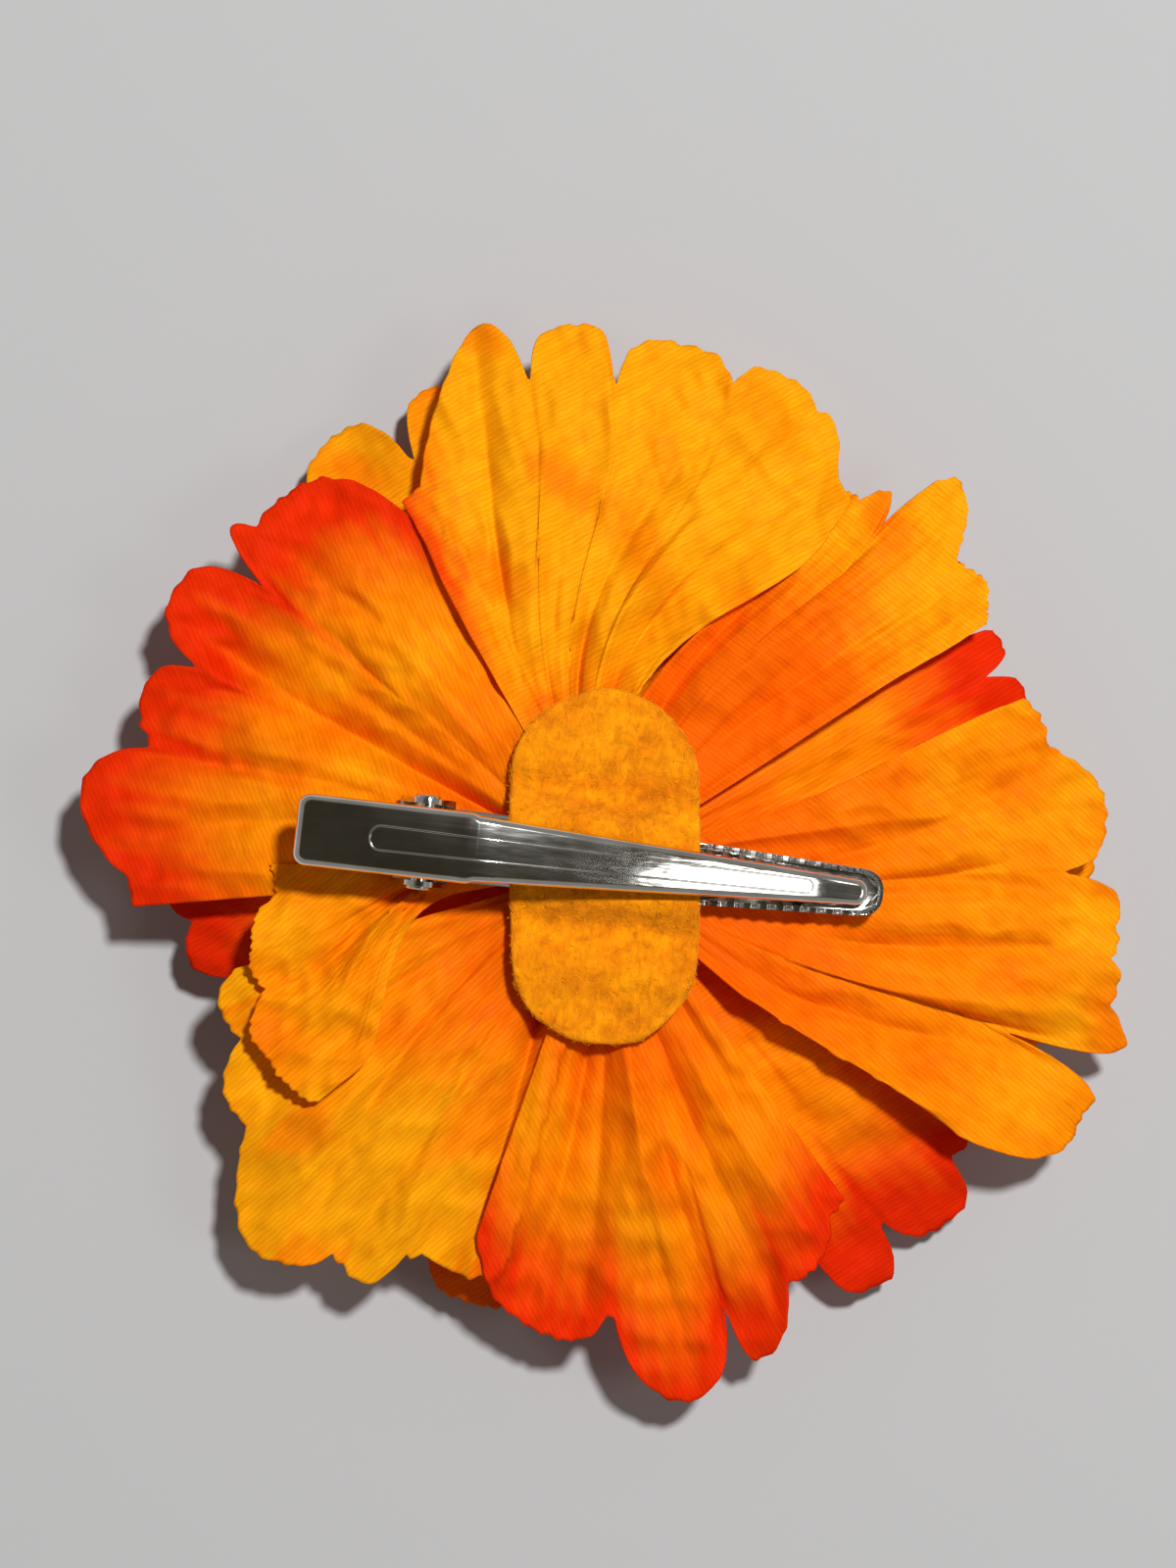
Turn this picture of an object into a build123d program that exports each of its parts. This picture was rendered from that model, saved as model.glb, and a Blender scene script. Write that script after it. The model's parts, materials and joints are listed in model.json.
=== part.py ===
"""Flower hair clip: a silk flower lying face down with a sprung alligator clip on its back.

X runs along the clip from its tail (-X) to its tip (+X), Z is up, and the origin is the flower's axis
on the surface that its petals rest on. All sizes are in millimetres.
"""

from build123d import *
import os
from math import asin, ceil, cos, radians, sin, sqrt

# Overall places along the clip, measured from the flower's axis
tail_reach = 29.8
tip_reach = 27.2
clip_side_shift = 0.5

# Pressed sheet of both jaws
sheet = 0.5
edge_round = 0.7
fold_round = 0.4
running_gap = 0.3
hinge_clearance = 0.05

# Hinge
hinge_from_tail = 12.1
pin_height = 4.3
pin_radius = 0.85
rivet_head = 0.35
rivet_overlap = 0.4

# Upper jaw
plate_height = 9.3
nose_height = 2.6
knee_from_hinge = 5.7
roof_bend = 18.0
nose_length = 4.9
nose_setback = 1.5
tail_half_width = 3.45
blade_half_width = 3.2
nose_half_width = 1.25
tail_corner = 1.2
tail_lip = 1.5
flange_depth = 1.2
ear_round = 1.9
ear_front = 4.7
step_run = 0.6
ear_back = 5.2
round_share = 0.92
nose_inset_share = 0.9
crown_band = 0.3
bead_back = 3.9
bead_front = 1.1
bead_wide = 1.05
bead_narrow = 0.6
bead_depth = 0.22

# Lower jaw
lower_tail_setback = 0.9
lower_tail_half = 2.75
lower_mid_half = 3.5
lower_waist = 10.0
lower_waist_half = 3.0
lower_tip_half = 2.2
channel_height = 1.5
wing_length = 5.4
wing_round = 1.6

# Teeth along the jaws' edges
tooth_pitch = 1.6
tooth_radius = 0.55
first_tooth = 10.2

# Torsion spring
wire = 0.7
coil_radius = 1.5
coil_turns = 4.5
coil_pitch = 0.8
spring_arm = 8.2

# Felt pad and the glue under it
felt_length = 34.7
felt_width = 18.5
felt_thickness = 1.0
felt_turn = 6.6
felt_shoulder = 3.0
glue_margin = 1.5
glue_thickness = 0.4

# Hub: cap, peg and spacers hold the rings of petals
cap_radius = 8.0
cap_thickness = 1.0
peg_radius = 3.0
peg_tip = 3.0
spacer_radius = 6.0
spacer_thickness = 2.0
stamen_count = 9
stamen_circle = 1.9
stamen_radius = 0.4
anther_radius = 0.7
anther_lift = 0.4

# Petals: reach from the axis and droop from hub to edge
petal_thickness = 0.6
level_gap = 0.3
flat_radius = 8.0
rear_reach = 55.0
rear_drop = 9.0
tongue_reach = 40.0
tongue_azimuth = 205.0
middle_reach = 51.5
middle_drop = 10.5
front_reach = 37.0
inner_reach = 25.0
inner_height = 9.0
ring_of_five = 5
front_azimuth = 20.0
inner_azimuth = 56.0

# Each petal: name, azimuth, level in its ring, and its scallops as (angle from the azimuth in degrees,
# reach as a share of the ring's, radius as a share of the ring's reach).
REAR_PETALS = [
    ("rear_petal_1", 92, 1, [(-23, 0.85, 0.09), (-15, 0.94, 0.10), (-6, 0.95, 0.10), (7, 0.985, 0.09),
                             (17, 0.995, 0.08), (24, 0.88, 0.09)]),
    ("rear_petal_2", 160, 0, [(-24, 0.86, 0.09), (-17, 0.91, 0.08), (-7, 0.935, 0.10), (7, 0.915, 0.09),
                              (18, 0.965, 0.10), (26, 0.88, 0.09)]),
    ("rear_petal_3", 232, 1, [(-22, 0.76, 0.08), (-11, 0.82, 0.10), (3, 0.935, 0.11), (13, 0.87, 0.08),
                              (22, 0.78, 0.08)]),
    ("rear_petal_4", 284, 0, [(-21, 0.76, 0.08), (-14, 0.86, 0.09), (0, 0.985, 0.10), (8, 0.97, 0.08),
                              (15, 0.88, 0.08), (21, 0.78, 0.07)]),
    ("rear_petal_5", 358, 0, [(-24, 0.92, 0.09), (-15, 0.97, 0.09), (-8, 0.98, 0.07), (0, 0.92, 0.08),
                              (12, 0.905, 0.09), (20, 0.88, 0.10), (27, 0.82, 0.08)]),
    ("rear_petal_6", 53, 0, [(-8, 0.85, 0.08), (-2, 0.94, 0.08), (7, 0.80, 0.09)]),
]
MIDDLE_PETALS = [
    ("middle_petal_1", 124, 1, [(-17, 0.92, 0.11), (-5, 0.97, 0.10), (8, 0.98, 0.10), (17, 0.90, 0.09)]),
    ("middle_petal_2", 193, 0, [(-16, 0.84, 0.10), (-4, 0.87, 0.10), (8, 0.86, 0.10), (17, 0.80, 0.09)]),
    ("middle_petal_3", 252, 1, [(-16, 0.88, 0.10), (-5, 0.92, 0.10), (7, 0.86, 0.10), (16, 0.84, 0.09)]),
    ("middle_petal_4", 317, 0, [(-15, 0.94, 0.09), (-6, 0.98, 0.09), (5, 0.97, 0.10), (14, 0.93, 0.10)]),
    ("middle_petal_5", 0, 1, [(-15, 0.93, 0.09), (-4, 0.96, 0.10), (7, 0.97, 0.10), (15, 0.90, 0.09)]),
    ("middle_petal_6", 46, 0, [(-16, 0.88, 0.09), (-7, 0.90, 0.10), (5, 0.92, 0.10), (15, 0.86, 0.09)]),
]
TONGUE_SCALLOPS = [(-14, 0.83, 0.10), (-4, 0.90, 0.12), (8, 0.97, 0.13), (16, 0.98, 0.11)]
FRONT_SCALLOPS = [(-22, 0.94, 0.16), (-8, 1.0, 0.17), (7, 0.98, 0.17), (22, 0.93, 0.16)]
INNER_SCALLOPS = [(-20, 0.94, 0.18), (0, 1.0, 0.22), (20, 0.93, 0.18)]

# Heights of the stack, from the surface up
front_top = inner_height + spacer_thickness + petal_thickness
middle_base = front_top + spacer_thickness
level_step = petal_thickness + level_gap
middle_top = middle_base + petal_thickness + level_step
rear_base = middle_top + spacer_thickness
rear_top = rear_base + petal_thickness + level_step
rear_run = rear_reach - flat_radius
rear_bend = (rear_run**2 + rear_drop**2) / (2 * rear_drop)
tongue_drop = rear_bend - sqrt(rear_bend**2 - (tongue_reach - flat_radius) ** 2)
tongue_top = rear_top + level_step
cap_top = tongue_top + cap_thickness
jaw_base = cap_top + glue_thickness

# Places along the clip
tail_x = -tail_reach
hinge_x = tail_x + hinge_from_tail
knee_x = hinge_x + knee_from_hinge
nose_x = tip_reach - nose_setback
heel_x = nose_x - nose_length
step_x = hinge_x + ear_front
pin_z = jaw_base + pin_height
ear_inner = tail_half_width + running_gap
ear_outer = ear_inner + sheet
spare = 1.0


def mirrored(points):
    """A closed outline from its +Y half: the points, then their mirror images in reverse."""
    return points + [(x, -y) for x, y in reversed(points)]


def rounded(points, rounds):
    """A plan face whose corners near each (x, radius) in rounds are rounded."""
    face = make_face(Polyline(*points, close=True))
    for corner_x, radius in rounds:
        corners = [v for v in face.vertices() if abs(v.X - corner_x) < 1e-6]
        face = fillet(corners, radius)
    return face


def side_face(points):
    """A face in the clip's side view from (x, height) points."""
    return Plane.XZ * make_face(Polyline(*points, close=True))


def across(face):
    """A side-view face drawn out to both sides, wider than any part of the clip."""
    return extrude(face, amount=2 * ear_outer, both=True)


def roof_line(offset):
    """The upper jaw's top line, lowered by offset, from tail to nose."""
    top = jaw_base + plate_height - offset
    low = jaw_base + nose_height - offset
    return [(tail_x - spare, top), (knee_x, top), (heel_x, low), (tip_reach + spare, low)]


def under_roof(offset, floor):
    """Everything below the lowered top line and above floor."""
    line = roof_line(offset)
    face = make_face(Polyline(*line, (tip_reach + spare, floor), (tail_x - spare, floor), close=True))
    bends = [v for v in face.vertices() if abs(v.X - knee_x) < 1e-6 or abs(v.X - heel_x) < 1e-6]
    face = fillet(bends, roof_bend)
    return extrude(Plane.XZ * face, amount=2 * ear_outer, both=True)


def teeth(start, stop, height):
    """Round cuts across the clip that leave a row of teeth between start and stop."""
    count = ceil((stop - start) / tooth_pitch)
    cutter = Rotation(90, 0, 0) * Cylinder(tooth_radius, 4 * ear_outer)
    return [Pos(start + i * tooth_pitch, 0, height(start + i * tooth_pitch)) * cutter for i in range(count)]


def pin_hole(radius):
    return Pos(hinge_x, 0, pin_z) * Rotation(90, 0, 0) * Cylinder(radius, 4 * ear_outer)


def upper_plan(inset):
    """The upper jaw's outline from above, moved inwards by inset."""
    half = mirrored([
        (nose_x - inset, nose_half_width - nose_inset_share * inset),
        (step_x + step_run, blade_half_width - inset),
        (step_x, tail_half_width - inset),
        (tail_x + inset, tail_half_width - inset),
    ])
    rounds = [(tail_x + inset, tail_corner - inset), (step_x, edge_round),
              (step_x + step_run, edge_round),
              (nose_x - inset, round_share * (nose_half_width - nose_inset_share * inset))]
    return rounded(half, rounds)


def bead_plan(margin):
    """The tapered round-ended outline of the pressed bead."""
    back = Pos(hinge_x - bead_back, 0) * Circle(bead_wide + margin)
    front = Pos(heel_x - bead_front, 0) * Circle(bead_narrow + margin)
    return make_hull(back.edges() + front.edges())


def roof_height(x):
    """Height of the upper jaw's straight top line at x."""
    share = min(max((x - knee_x) / (heel_x - knee_x), 0), 1)
    return jaw_base + plate_height + share * (nose_height - plate_height)


def upper_jaw():
    high = jaw_base + plate_height + spare
    low = jaw_base - spare
    outer = extrude(Pos(0, 0, jaw_base) * upper_plan(0), amount=high - jaw_base)
    outer = outer & under_roof(0, jaw_base)
    crown = [e for e in outer.edges() if e.center().Z > roof_height(e.center().X) - crown_band]
    outer = fillet(crown, edge_round)
    inner = extrude(Pos(0, 0, low) * upper_plan(sheet), amount=high - jaw_base)
    inner = inner & under_roof(sheet, low)
    bead = extrude(Pos(0, 0, jaw_base) * bead_plan(0), amount=high - jaw_base)
    inner = inner - (extrude(Pos(0, 0, jaw_base) * bead_plan(sheet), amount=high - jaw_base)
                     - under_roof(sheet + bead_depth, low))
    shell = outer - inner
    shell = shell - (bead - under_roof(bead_depth, low))
    drop = sheet + flange_depth
    line = roof_line(drop)
    tail_drop = jaw_base + plate_height - sheet - tail_lip
    hem = side_face([(tail_x - spare, tail_drop), (hinge_x - ear_back, tail_drop),
                     (hinge_x - ear_round, pin_z), (hinge_x + ear_round, pin_z),
                     (step_x, roof_height(step_x) - drop), *line[1:],
                     (tip_reach + spare, high), (tail_x - spare, high)])
    lobe = Pos(hinge_x, 0, pin_z) * Rotation(90, 0, 0) * Cylinder(ear_round, 4 * ear_outer)
    shell = shell & (across(hem) + lobe)
    row = teeth(first_tooth, heel_x, lambda x: roof_height(x) - drop)
    return shell - row - pin_hole(pin_radius + hinge_clearance)


def lower_plan(inset):
    """The lower jaw's outline from above, without its wings, moved inwards by inset."""
    start = tail_x + lower_tail_setback + inset
    half = mirrored([
        (tip_reach - inset, lower_tip_half - inset),
        (lower_waist, lower_waist_half - inset),
        (step_x, lower_mid_half - inset),
        (hinge_x, lower_mid_half - inset),
        (hinge_x - wing_length / 2, lower_tail_half - inset),
        (start, lower_tail_half - inset),
    ])
    rounds = [(start, tail_corner - inset), (tip_reach - inset, round_share * (lower_tip_half - inset))]
    return rounded(half, rounds)


def lower_jaw():
    outer = extrude(Pos(0, 0, jaw_base) * lower_plan(0), amount=channel_height)
    bottom = outer.faces().sort_by(Axis.Z)[0]
    outer = fillet(bottom.edges(), fold_round)
    wing_tall = pin_height + wing_round
    wings = Pos(hinge_x, 0, jaw_base + pin_height / 2) * Box(wing_length, 2 * ear_outer, pin_height)
    wings += Pos(hinge_x, 0, pin_z) * Rotation(90, 0, 0) * Cylinder(wing_round, 2 * ear_outer)
    under_wings = wings.edges().filter_by(Axis.X).group_by(Axis.Z)[0]
    wings = fillet(under_wings, fold_round)
    rim = jaw_base + channel_height
    waist = side_face([(hinge_x - wing_length, jaw_base), (hinge_x + wing_length, jaw_base),
                       (hinge_x + wing_length / 2, rim), (hinge_x + wing_round, pin_z),
                       (hinge_x + wing_round, pin_z + wing_tall), (hinge_x - wing_round, pin_z + wing_tall),
                       (hinge_x - wing_round, pin_z), (hinge_x - wing_length / 2, rim)])
    wings = wings & across(waist)
    inner = extrude(Pos(0, 0, jaw_base + sheet) * lower_plan(sheet), amount=2 * wing_tall)
    inner += Pos(hinge_x, 0, jaw_base + sheet + wing_tall) * Box(wing_length, 2 * ear_inner, 2 * wing_tall)
    row = teeth(first_tooth, tip_reach - lower_tip_half, lambda x: rim)
    return outer + wings - inner - row - pin_hole(pin_radius)


def hinge_pin():
    shaft = Cylinder(pin_radius, 2 * ear_outer)
    head = Cylinder(pin_radius + rivet_overlap, rivet_head)
    head = fillet(head.edges().sort_by(Axis.Z)[-1], 0.6 * rivet_head)
    top = Pos(0, 0, ear_outer + rivet_head / 2) * head
    pin = shaft + top + mirror(top, Plane.XY)
    return Pos(hinge_x, 0, pin_z) * Rotation(90, 0, 0) * pin


def spring():
    """A torsion spring on the pin: one arm on the lower jaw's floor, one under the thumb plate."""
    length = coil_turns * coil_pitch
    place = Plane(origin=(hinge_x, -length / 2, pin_z), x_dir=(0, 0, -1), z_dir=(0, 1, 0))
    path = place * Helix(coil_pitch, length, coil_radius)
    start = Plane(origin=path @ 0, z_dir=path % 0)
    coil = sweep(start * Circle(wire / 2), path=path)
    low_end = Vector(hinge_x - spring_arm, -length / 2, jaw_base + sheet + wire / 2)
    high_end = Vector(hinge_x - spring_arm, length / 2, jaw_base + plate_height - sheet - wire / 2)
    low_start = Vector(hinge_x, -length / 2, pin_z - coil_radius)
    high_start = Vector(hinge_x, length / 2, pin_z + coil_radius)
    for begin, end in ((low_start, low_end), (high_start, high_end)):
        run = Plane(origin=begin, z_dir=end - begin)
        coil += run * Cylinder(wire / 2, (end - begin).length, align=(Align.CENTER, Align.CENTER, Align.MIN))
        coil += Pos(*begin) * Sphere(wire / 2)
    return coil


def felt_plan(margin):
    oval = SlotOverall(felt_length + 2 * margin, felt_width + 2 * margin)
    return Rotation(0, 0, 90 + felt_turn) * oval


def felt_band(low, high):
    """The felt's path over the lower jaw's edges and down to the cap, between two offsets from it."""
    ridge = lower_mid_half + running_gap
    foot = ridge + felt_shoulder
    top = jaw_base + channel_height
    half = [(0, top), (ridge, top), (foot, cap_top), (felt_length, cap_top)]
    upper = [(y, z + high) for y, z in half]
    lower = [(y, z + low) for y, z in half]
    points = [(-y, z) for y, z in reversed(upper)] + upper[1:]
    points += list(reversed(lower)) + [(-y, z) for y, z in lower[1:]]
    face = Plane.YZ * make_face(Polyline(*points, close=True))
    return extrude(face, amount=felt_length, both=True)


def felt_pad():
    column = extrude(Pos(0, 0, cap_top - 1) * felt_plan(0), amount=plate_height)
    return column & (Pos(0, clip_side_shift, 0) * felt_band(0, felt_thickness))


def glue_bed():
    """Hot-melt glue: a collar round the cap under the felt, and a bed under the lower jaw."""
    collar = extrude(Pos(0, 0, tongue_top) * felt_plan(-glue_margin), amount=cap_thickness)
    collar -= Pos(0, 0, tongue_top) * Cylinder(cap_radius, 3 * cap_thickness)
    bed_length = felt_width - 2 * glue_margin
    bed = Pos(0, clip_side_shift, cap_top + glue_thickness / 2) * Box(bed_length, 2 * lower_waist_half - 1,
                                                                     glue_thickness)
    return collar + bed


def rear_cap():
    cap = Pos(0, 0, cap_top - cap_thickness / 2) * Cylinder(cap_radius, cap_thickness)
    return chamfer(cap.edges().sort_by(Axis.Z)[-1], 0.3 * cap_thickness)


def centre_peg():
    height = tongue_top - peg_tip
    peg = Pos(0, 0, peg_tip + height / 2) * Cylinder(peg_radius, height)
    return chamfer(peg.edges().sort_by(Axis.Z)[0], 0.25 * peg_radius)


def spacer(base):
    ring = Cylinder(spacer_radius, spacer_thickness) - Cylinder(peg_radius, 2 * spacer_thickness)
    return Pos(0, 0, base + spacer_thickness / 2) * ring


def stamens():
    """Short filaments with round anthers, standing out of the peg's face."""
    centre = anther_lift + anther_radius
    length = peg_tip - centre
    one = Pos(stamen_circle, 0, peg_tip - length / 2) * Cylinder(stamen_radius, length)
    one += Pos(stamen_circle, 0, centre) * Sphere(anther_radius)
    return Compound(children=[Rotation(0, 0, 360 * i / stamen_count) * one for i in range(stamen_count)])


def drooping_shell(top, drop, reach):
    """A full ring of sheet: flat round the peg, then curving down to its edge by drop."""
    run = reach - flat_radius
    bend = (run**2 + drop**2) / (2 * drop)
    sweep_angle = asin(run / bend)

    def on_arc(radius, share):
        angle = share * sweep_angle
        return (flat_radius + radius * sin(angle), top - bend + radius * cos(angle))

    inner = bend - petal_thickness
    edges = [
        Line((peg_radius, top), (flat_radius, top)),
        ThreePointArc((flat_radius, top), on_arc(bend, 0.5), on_arc(bend, 1)),
        Line(on_arc(bend, 1), on_arc(inner, 1)),
        ThreePointArc(on_arc(inner, 1), on_arc(inner, 0.5), (flat_radius, top - petal_thickness)),
        Line((flat_radius, top - petal_thickness), (peg_radius, top - petal_thickness)),
        Line((peg_radius, top - petal_thickness), (peg_radius, top)),
    ]
    return revolve(Plane.XZ * make_face(edges), Axis.Z)


def petal_plan(azimuth, scallops, reach):
    """A wedge from the axis out to a row of round scallops."""
    centres = []
    for angle, share, round_share in scallops:
        turn = radians(azimuth + angle)
        distance = (share - round_share) * reach
        centres.append((distance * cos(turn), distance * sin(turn)))
    face = make_face(Polyline((0, 0), *centres, close=True))
    for centre, scallop in zip(centres, scallops):
        face += Pos(*centre) * Circle(scallop[2] * reach)
    return face


def petal(azimuth, scallops, top, drop, reach):
    shell = drooping_shell(top, drop, reach)
    plan = petal_plan(azimuth, scallops, reach)
    return shell & extrude(Pos(0, 0, top - drop - 5) * plan, amount=drop + 10)


def petals():
    """Every petal by name."""
    made = {}
    for name, azimuth, level, scallops in REAR_PETALS:
        made[name] = petal(azimuth, scallops, rear_top - level * level_step, rear_drop, rear_reach)
    for name, azimuth, level, scallops in MIDDLE_PETALS:
        made[name] = petal(azimuth, scallops, middle_top - level * level_step, middle_drop, middle_reach)
    made["tongue_petal"] = petal(tongue_azimuth, TONGUE_SCALLOPS, tongue_top, tongue_drop, tongue_reach)
    for i in range(ring_of_five):
        turn = 360 / ring_of_five * i
        made[f"front_petal_{i + 1}"] = petal(front_azimuth + turn, FRONT_SCALLOPS, front_top,
                                             front_top - petal_thickness, front_reach)
        made[f"inner_petal_{i + 1}"] = petal(inner_azimuth + turn, INNER_SCALLOPS, inner_height,
                                             inner_height - petal_thickness, inner_reach)
    return made


def main():
    os.makedirs("parts", exist_ok=True)
    beside = Pos(0, clip_side_shift, 0)
    nodes = {
        "upper_jaw": beside * upper_jaw(),
        "lower_jaw": beside * lower_jaw(),
        "hinge_pin": beside * hinge_pin(),
        "spring": beside * spring(),
        "felt_pad": felt_pad(),
        "glue_bed": glue_bed(),
        "rear_cap": rear_cap(),
        "centre_peg": centre_peg(),
        "rear_spacer": spacer(middle_top),
        "middle_spacer": spacer(front_top),
        "front_spacer": spacer(inner_height),
        "stamens": stamens(),
    }
    nodes.update(petals())
    for name, shape in nodes.items():
        export_step(shape, f"parts/{name}.step")
        size = shape.bounding_box().size
        print(name, len(shape.solids()), round(shape.volume, 1), [round(v, 2) for v in size])


main()
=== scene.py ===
# %% [markdown]
# # A silk flower hair clip, seen from its back
# The clip is a stack: rings of heat-pressed cloth petals on a plastic peg, an oval felt pad, and a
# sprung alligator clip whose lower jaw goes under the pad. The measured model is loaded first and
# stays fixed. Everything made here is placed from it, in metres, with +X along the clip.

# %% Load the measured model
import json
import math

import bmesh
import bpy
import numpy as np
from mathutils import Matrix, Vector


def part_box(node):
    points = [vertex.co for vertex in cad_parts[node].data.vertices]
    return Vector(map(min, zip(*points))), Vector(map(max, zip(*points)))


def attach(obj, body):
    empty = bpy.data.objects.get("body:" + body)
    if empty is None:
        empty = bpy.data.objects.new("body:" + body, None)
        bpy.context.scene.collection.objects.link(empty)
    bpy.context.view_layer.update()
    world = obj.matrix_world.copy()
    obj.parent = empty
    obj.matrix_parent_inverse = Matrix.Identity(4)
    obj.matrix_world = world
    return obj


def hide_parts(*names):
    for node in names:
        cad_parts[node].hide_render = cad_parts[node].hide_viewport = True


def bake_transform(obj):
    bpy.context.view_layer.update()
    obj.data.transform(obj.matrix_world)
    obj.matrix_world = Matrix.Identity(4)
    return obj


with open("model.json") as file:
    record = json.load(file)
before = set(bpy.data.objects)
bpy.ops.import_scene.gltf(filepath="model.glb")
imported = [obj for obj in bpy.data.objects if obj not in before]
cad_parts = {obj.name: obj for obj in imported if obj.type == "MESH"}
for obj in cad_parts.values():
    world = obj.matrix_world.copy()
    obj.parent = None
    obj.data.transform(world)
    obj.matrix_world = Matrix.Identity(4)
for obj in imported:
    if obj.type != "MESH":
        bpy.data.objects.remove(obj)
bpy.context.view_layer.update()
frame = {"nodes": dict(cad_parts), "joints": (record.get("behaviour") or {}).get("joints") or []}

MM = 0.001
JAW_HINGE = frame["joints"][0]

# %% [markdown]
# The petals and the pad are worked out from a few heights of the measured model: where the jaw's
# sheet starts, where the hub's cap ends, and how high each ring of petals is held on the peg.

# %% Heights and places from the frame, in millimetres


def top_of(node):
    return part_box(node)[1].z / MM


def bottom_of(node):
    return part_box(node)[0].z / MM


jaw_base = bottom_of("lower_jaw")
cap_top = top_of("rear_cap")
clip_side = (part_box("upper_jaw")[0].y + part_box("upper_jaw")[1].y) / 2 / MM
hinge = Vector(JAW_HINGE["pos_m"]) / MM
tail_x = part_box("upper_jaw")[0].x / MM
tip_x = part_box("lower_jaw")[1].x / MM
ring_height = {
    "rear": top_of("rear_petal_2"),
    "middle": top_of("middle_petal_2"),
    "front": top_of("front_petal_1"),
    "inner": top_of("inner_petal_1"),
}
print("jaw base", round(jaw_base, 2), "rings", {k: round(v, 2) for k, v in ring_height.items()})

# %% [markdown]
# The camera looks straight down on the back of the flower, turned a little so that the clip slopes
# as it does when the flower lies on a table. The focal length could be tried by eye, but it follows
# from how far off the camera is and how much it should take in. The Standard view shows the dyes
# as they are, where a film look would grey the strong orange.

# %% Camera
CLIP_SLOPE = 6.6
camera_turn = math.radians(-CLIP_SLOPE)
camera_height = 0.50
view_height = 0.1502
aim = Vector((-0.0025, 0.0079, 0.029))


def add_object(name, data):
    """A new object in the scene."""
    thing = bpy.data.objects.new(name, data)
    bpy.context.scene.collection.objects.link(thing)
    return thing


camera_data = bpy.data.cameras.new("camera")
camera_data.sensor_fit = "VERTICAL"
camera_data.sensor_height = 36.0
camera_data.lens = camera_data.sensor_height * camera_height / view_height
camera = add_object("camera", camera_data)
camera.location = aim + Vector((0, 0, camera_height))
camera.rotation_euler = (0, 0, -camera_turn)
bpy.context.scene.camera = camera
bpy.context.scene.view_settings.view_transform = "Standard"
print("lens", round(camera_data.lens), "millimetres")

# %% [markdown]
# One key lamp from the upper right is small enough to draw crisp shadows beside the pleats. A weak
# second lamp off the clip's tip hardly shows on cloth, but polished metal mirrors it, so it puts a
# bright patch on the blade. Each is placed by its bearing and elevation, as lamps in a studio are.

# %% Lamps


def lamp(name, bearing, elevation, distance, size, power):
    """An area lamp aimed at the flower. bearing is measured from +X towards +Y, in degrees."""
    data = bpy.data.lights.new(name, "AREA")
    data.shape = "DISK"
    data.size = size
    data.energy = power
    turn, rise = math.radians(bearing), math.radians(elevation)
    level = math.cos(rise)
    place = Vector((math.cos(turn) * level, math.sin(turn) * level, math.sin(rise)))
    thing = add_object(name, data)
    thing.location = place * distance
    thing.rotation_euler = place.to_track_quat("Z", "Y").to_euler()
    print("lamp", name, power, "watts")


lamp("key", bearing=60, elevation=71, distance=0.9, size=0.07, power=8.6)
lamp("blade_card", bearing=-6, elevation=57, distance=0.8, size=0.22, power=0.45)

# %% [markdown]
# A dim sky fills the shadows, and it is also what the polished clip mirrors. It is dark straight
# overhead and bright lower down, so the level thumb plate goes dark and the sloping blade bright.
# A colour ramp reads how high each direction points: 0 is level and 1 is overhead.

# %% Sky
SKY_STRENGTH = 0.32
SKY_LOW = ((0.0, 0.80), (0.72, 0.72))
SKY_HIGH = ((0.78, 0.70), (0.86, 0.30), (0.91, 0.11), (1.0, 0.09))


def sky():
    """A pale studio sky that darkens, and warms a little, straight overhead."""
    world = bpy.data.worlds.new("studio")
    world.use_nodes = True
    tree = world.node_tree
    tree.nodes.clear()
    coordinate = tree.nodes.new("ShaderNodeTexCoord")
    split = tree.nodes.new("ShaderNodeSeparateXYZ")
    ramp = tree.nodes.new("ShaderNodeValToRGB")
    background = tree.nodes.new("ShaderNodeBackground")
    output = tree.nodes.new("ShaderNodeOutputWorld")
    tree.links.new(coordinate.outputs["Generated"], split.inputs[0])
    tree.links.new(split.outputs["Z"], ramp.inputs[0])
    tree.links.new(ramp.outputs[0], background.inputs["Color"])
    tree.links.new(background.outputs[0], output.inputs["Surface"])
    stops = ramp.color_ramp.elements
    for stop, (position, grey) in zip(stops, SKY_LOW):
        stop.position, stop.color = position, (grey, grey, grey, 1)
    for position, grey in SKY_HIGH:
        stops.new(position).color = (grey, grey * 0.84, grey * 0.54, 1)
    background.inputs["Strength"].default_value = SKY_STRENGTH
    bpy.context.scene.world = world
    print("sky with", len(stops), "stops")


sky()

# %% [markdown]
# The floor is one matt square, far wider than the view, so that none of its edges shows. It isn't
# part of the object.

# %% Floor
FLOOR_HALF = 3.0
floor_mesh = bpy.data.meshes.new("floor")
corners = [(x * FLOOR_HALF, y * FLOOR_HALF, 0) for x, y in ((-1, -1), (1, -1), (1, 1), (-1, 1))]
floor_mesh.from_pydata(corners, [], [(0, 1, 2, 3)])
floor = add_object("floor", floor_mesh)
floor_paint = bpy.data.materials.new("floor_paint")
floor_paint.use_nodes = True
floor_shader = floor_paint.node_tree.nodes["Principled BSDF"]
floor_shader.inputs["Base Color"].default_value = (0.435, 0.435, 0.438, 1)
floor_shader.inputs["Roughness"].default_value = 0.9
floor_mesh.materials.append(floor_paint)
print("floor", 2 * FLOOR_HALF, "metres wide")

# %% [markdown]
# Shader maths reads best as plain arithmetic. `Signal` wraps one output of a node, and its
# operators add the Math nodes. `Finish` makes a material and adds any other node by its type. The
# nodes could be placed by hand in the editor, but a recipe in text can be read and changed later.

# %% Shader helpers


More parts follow.
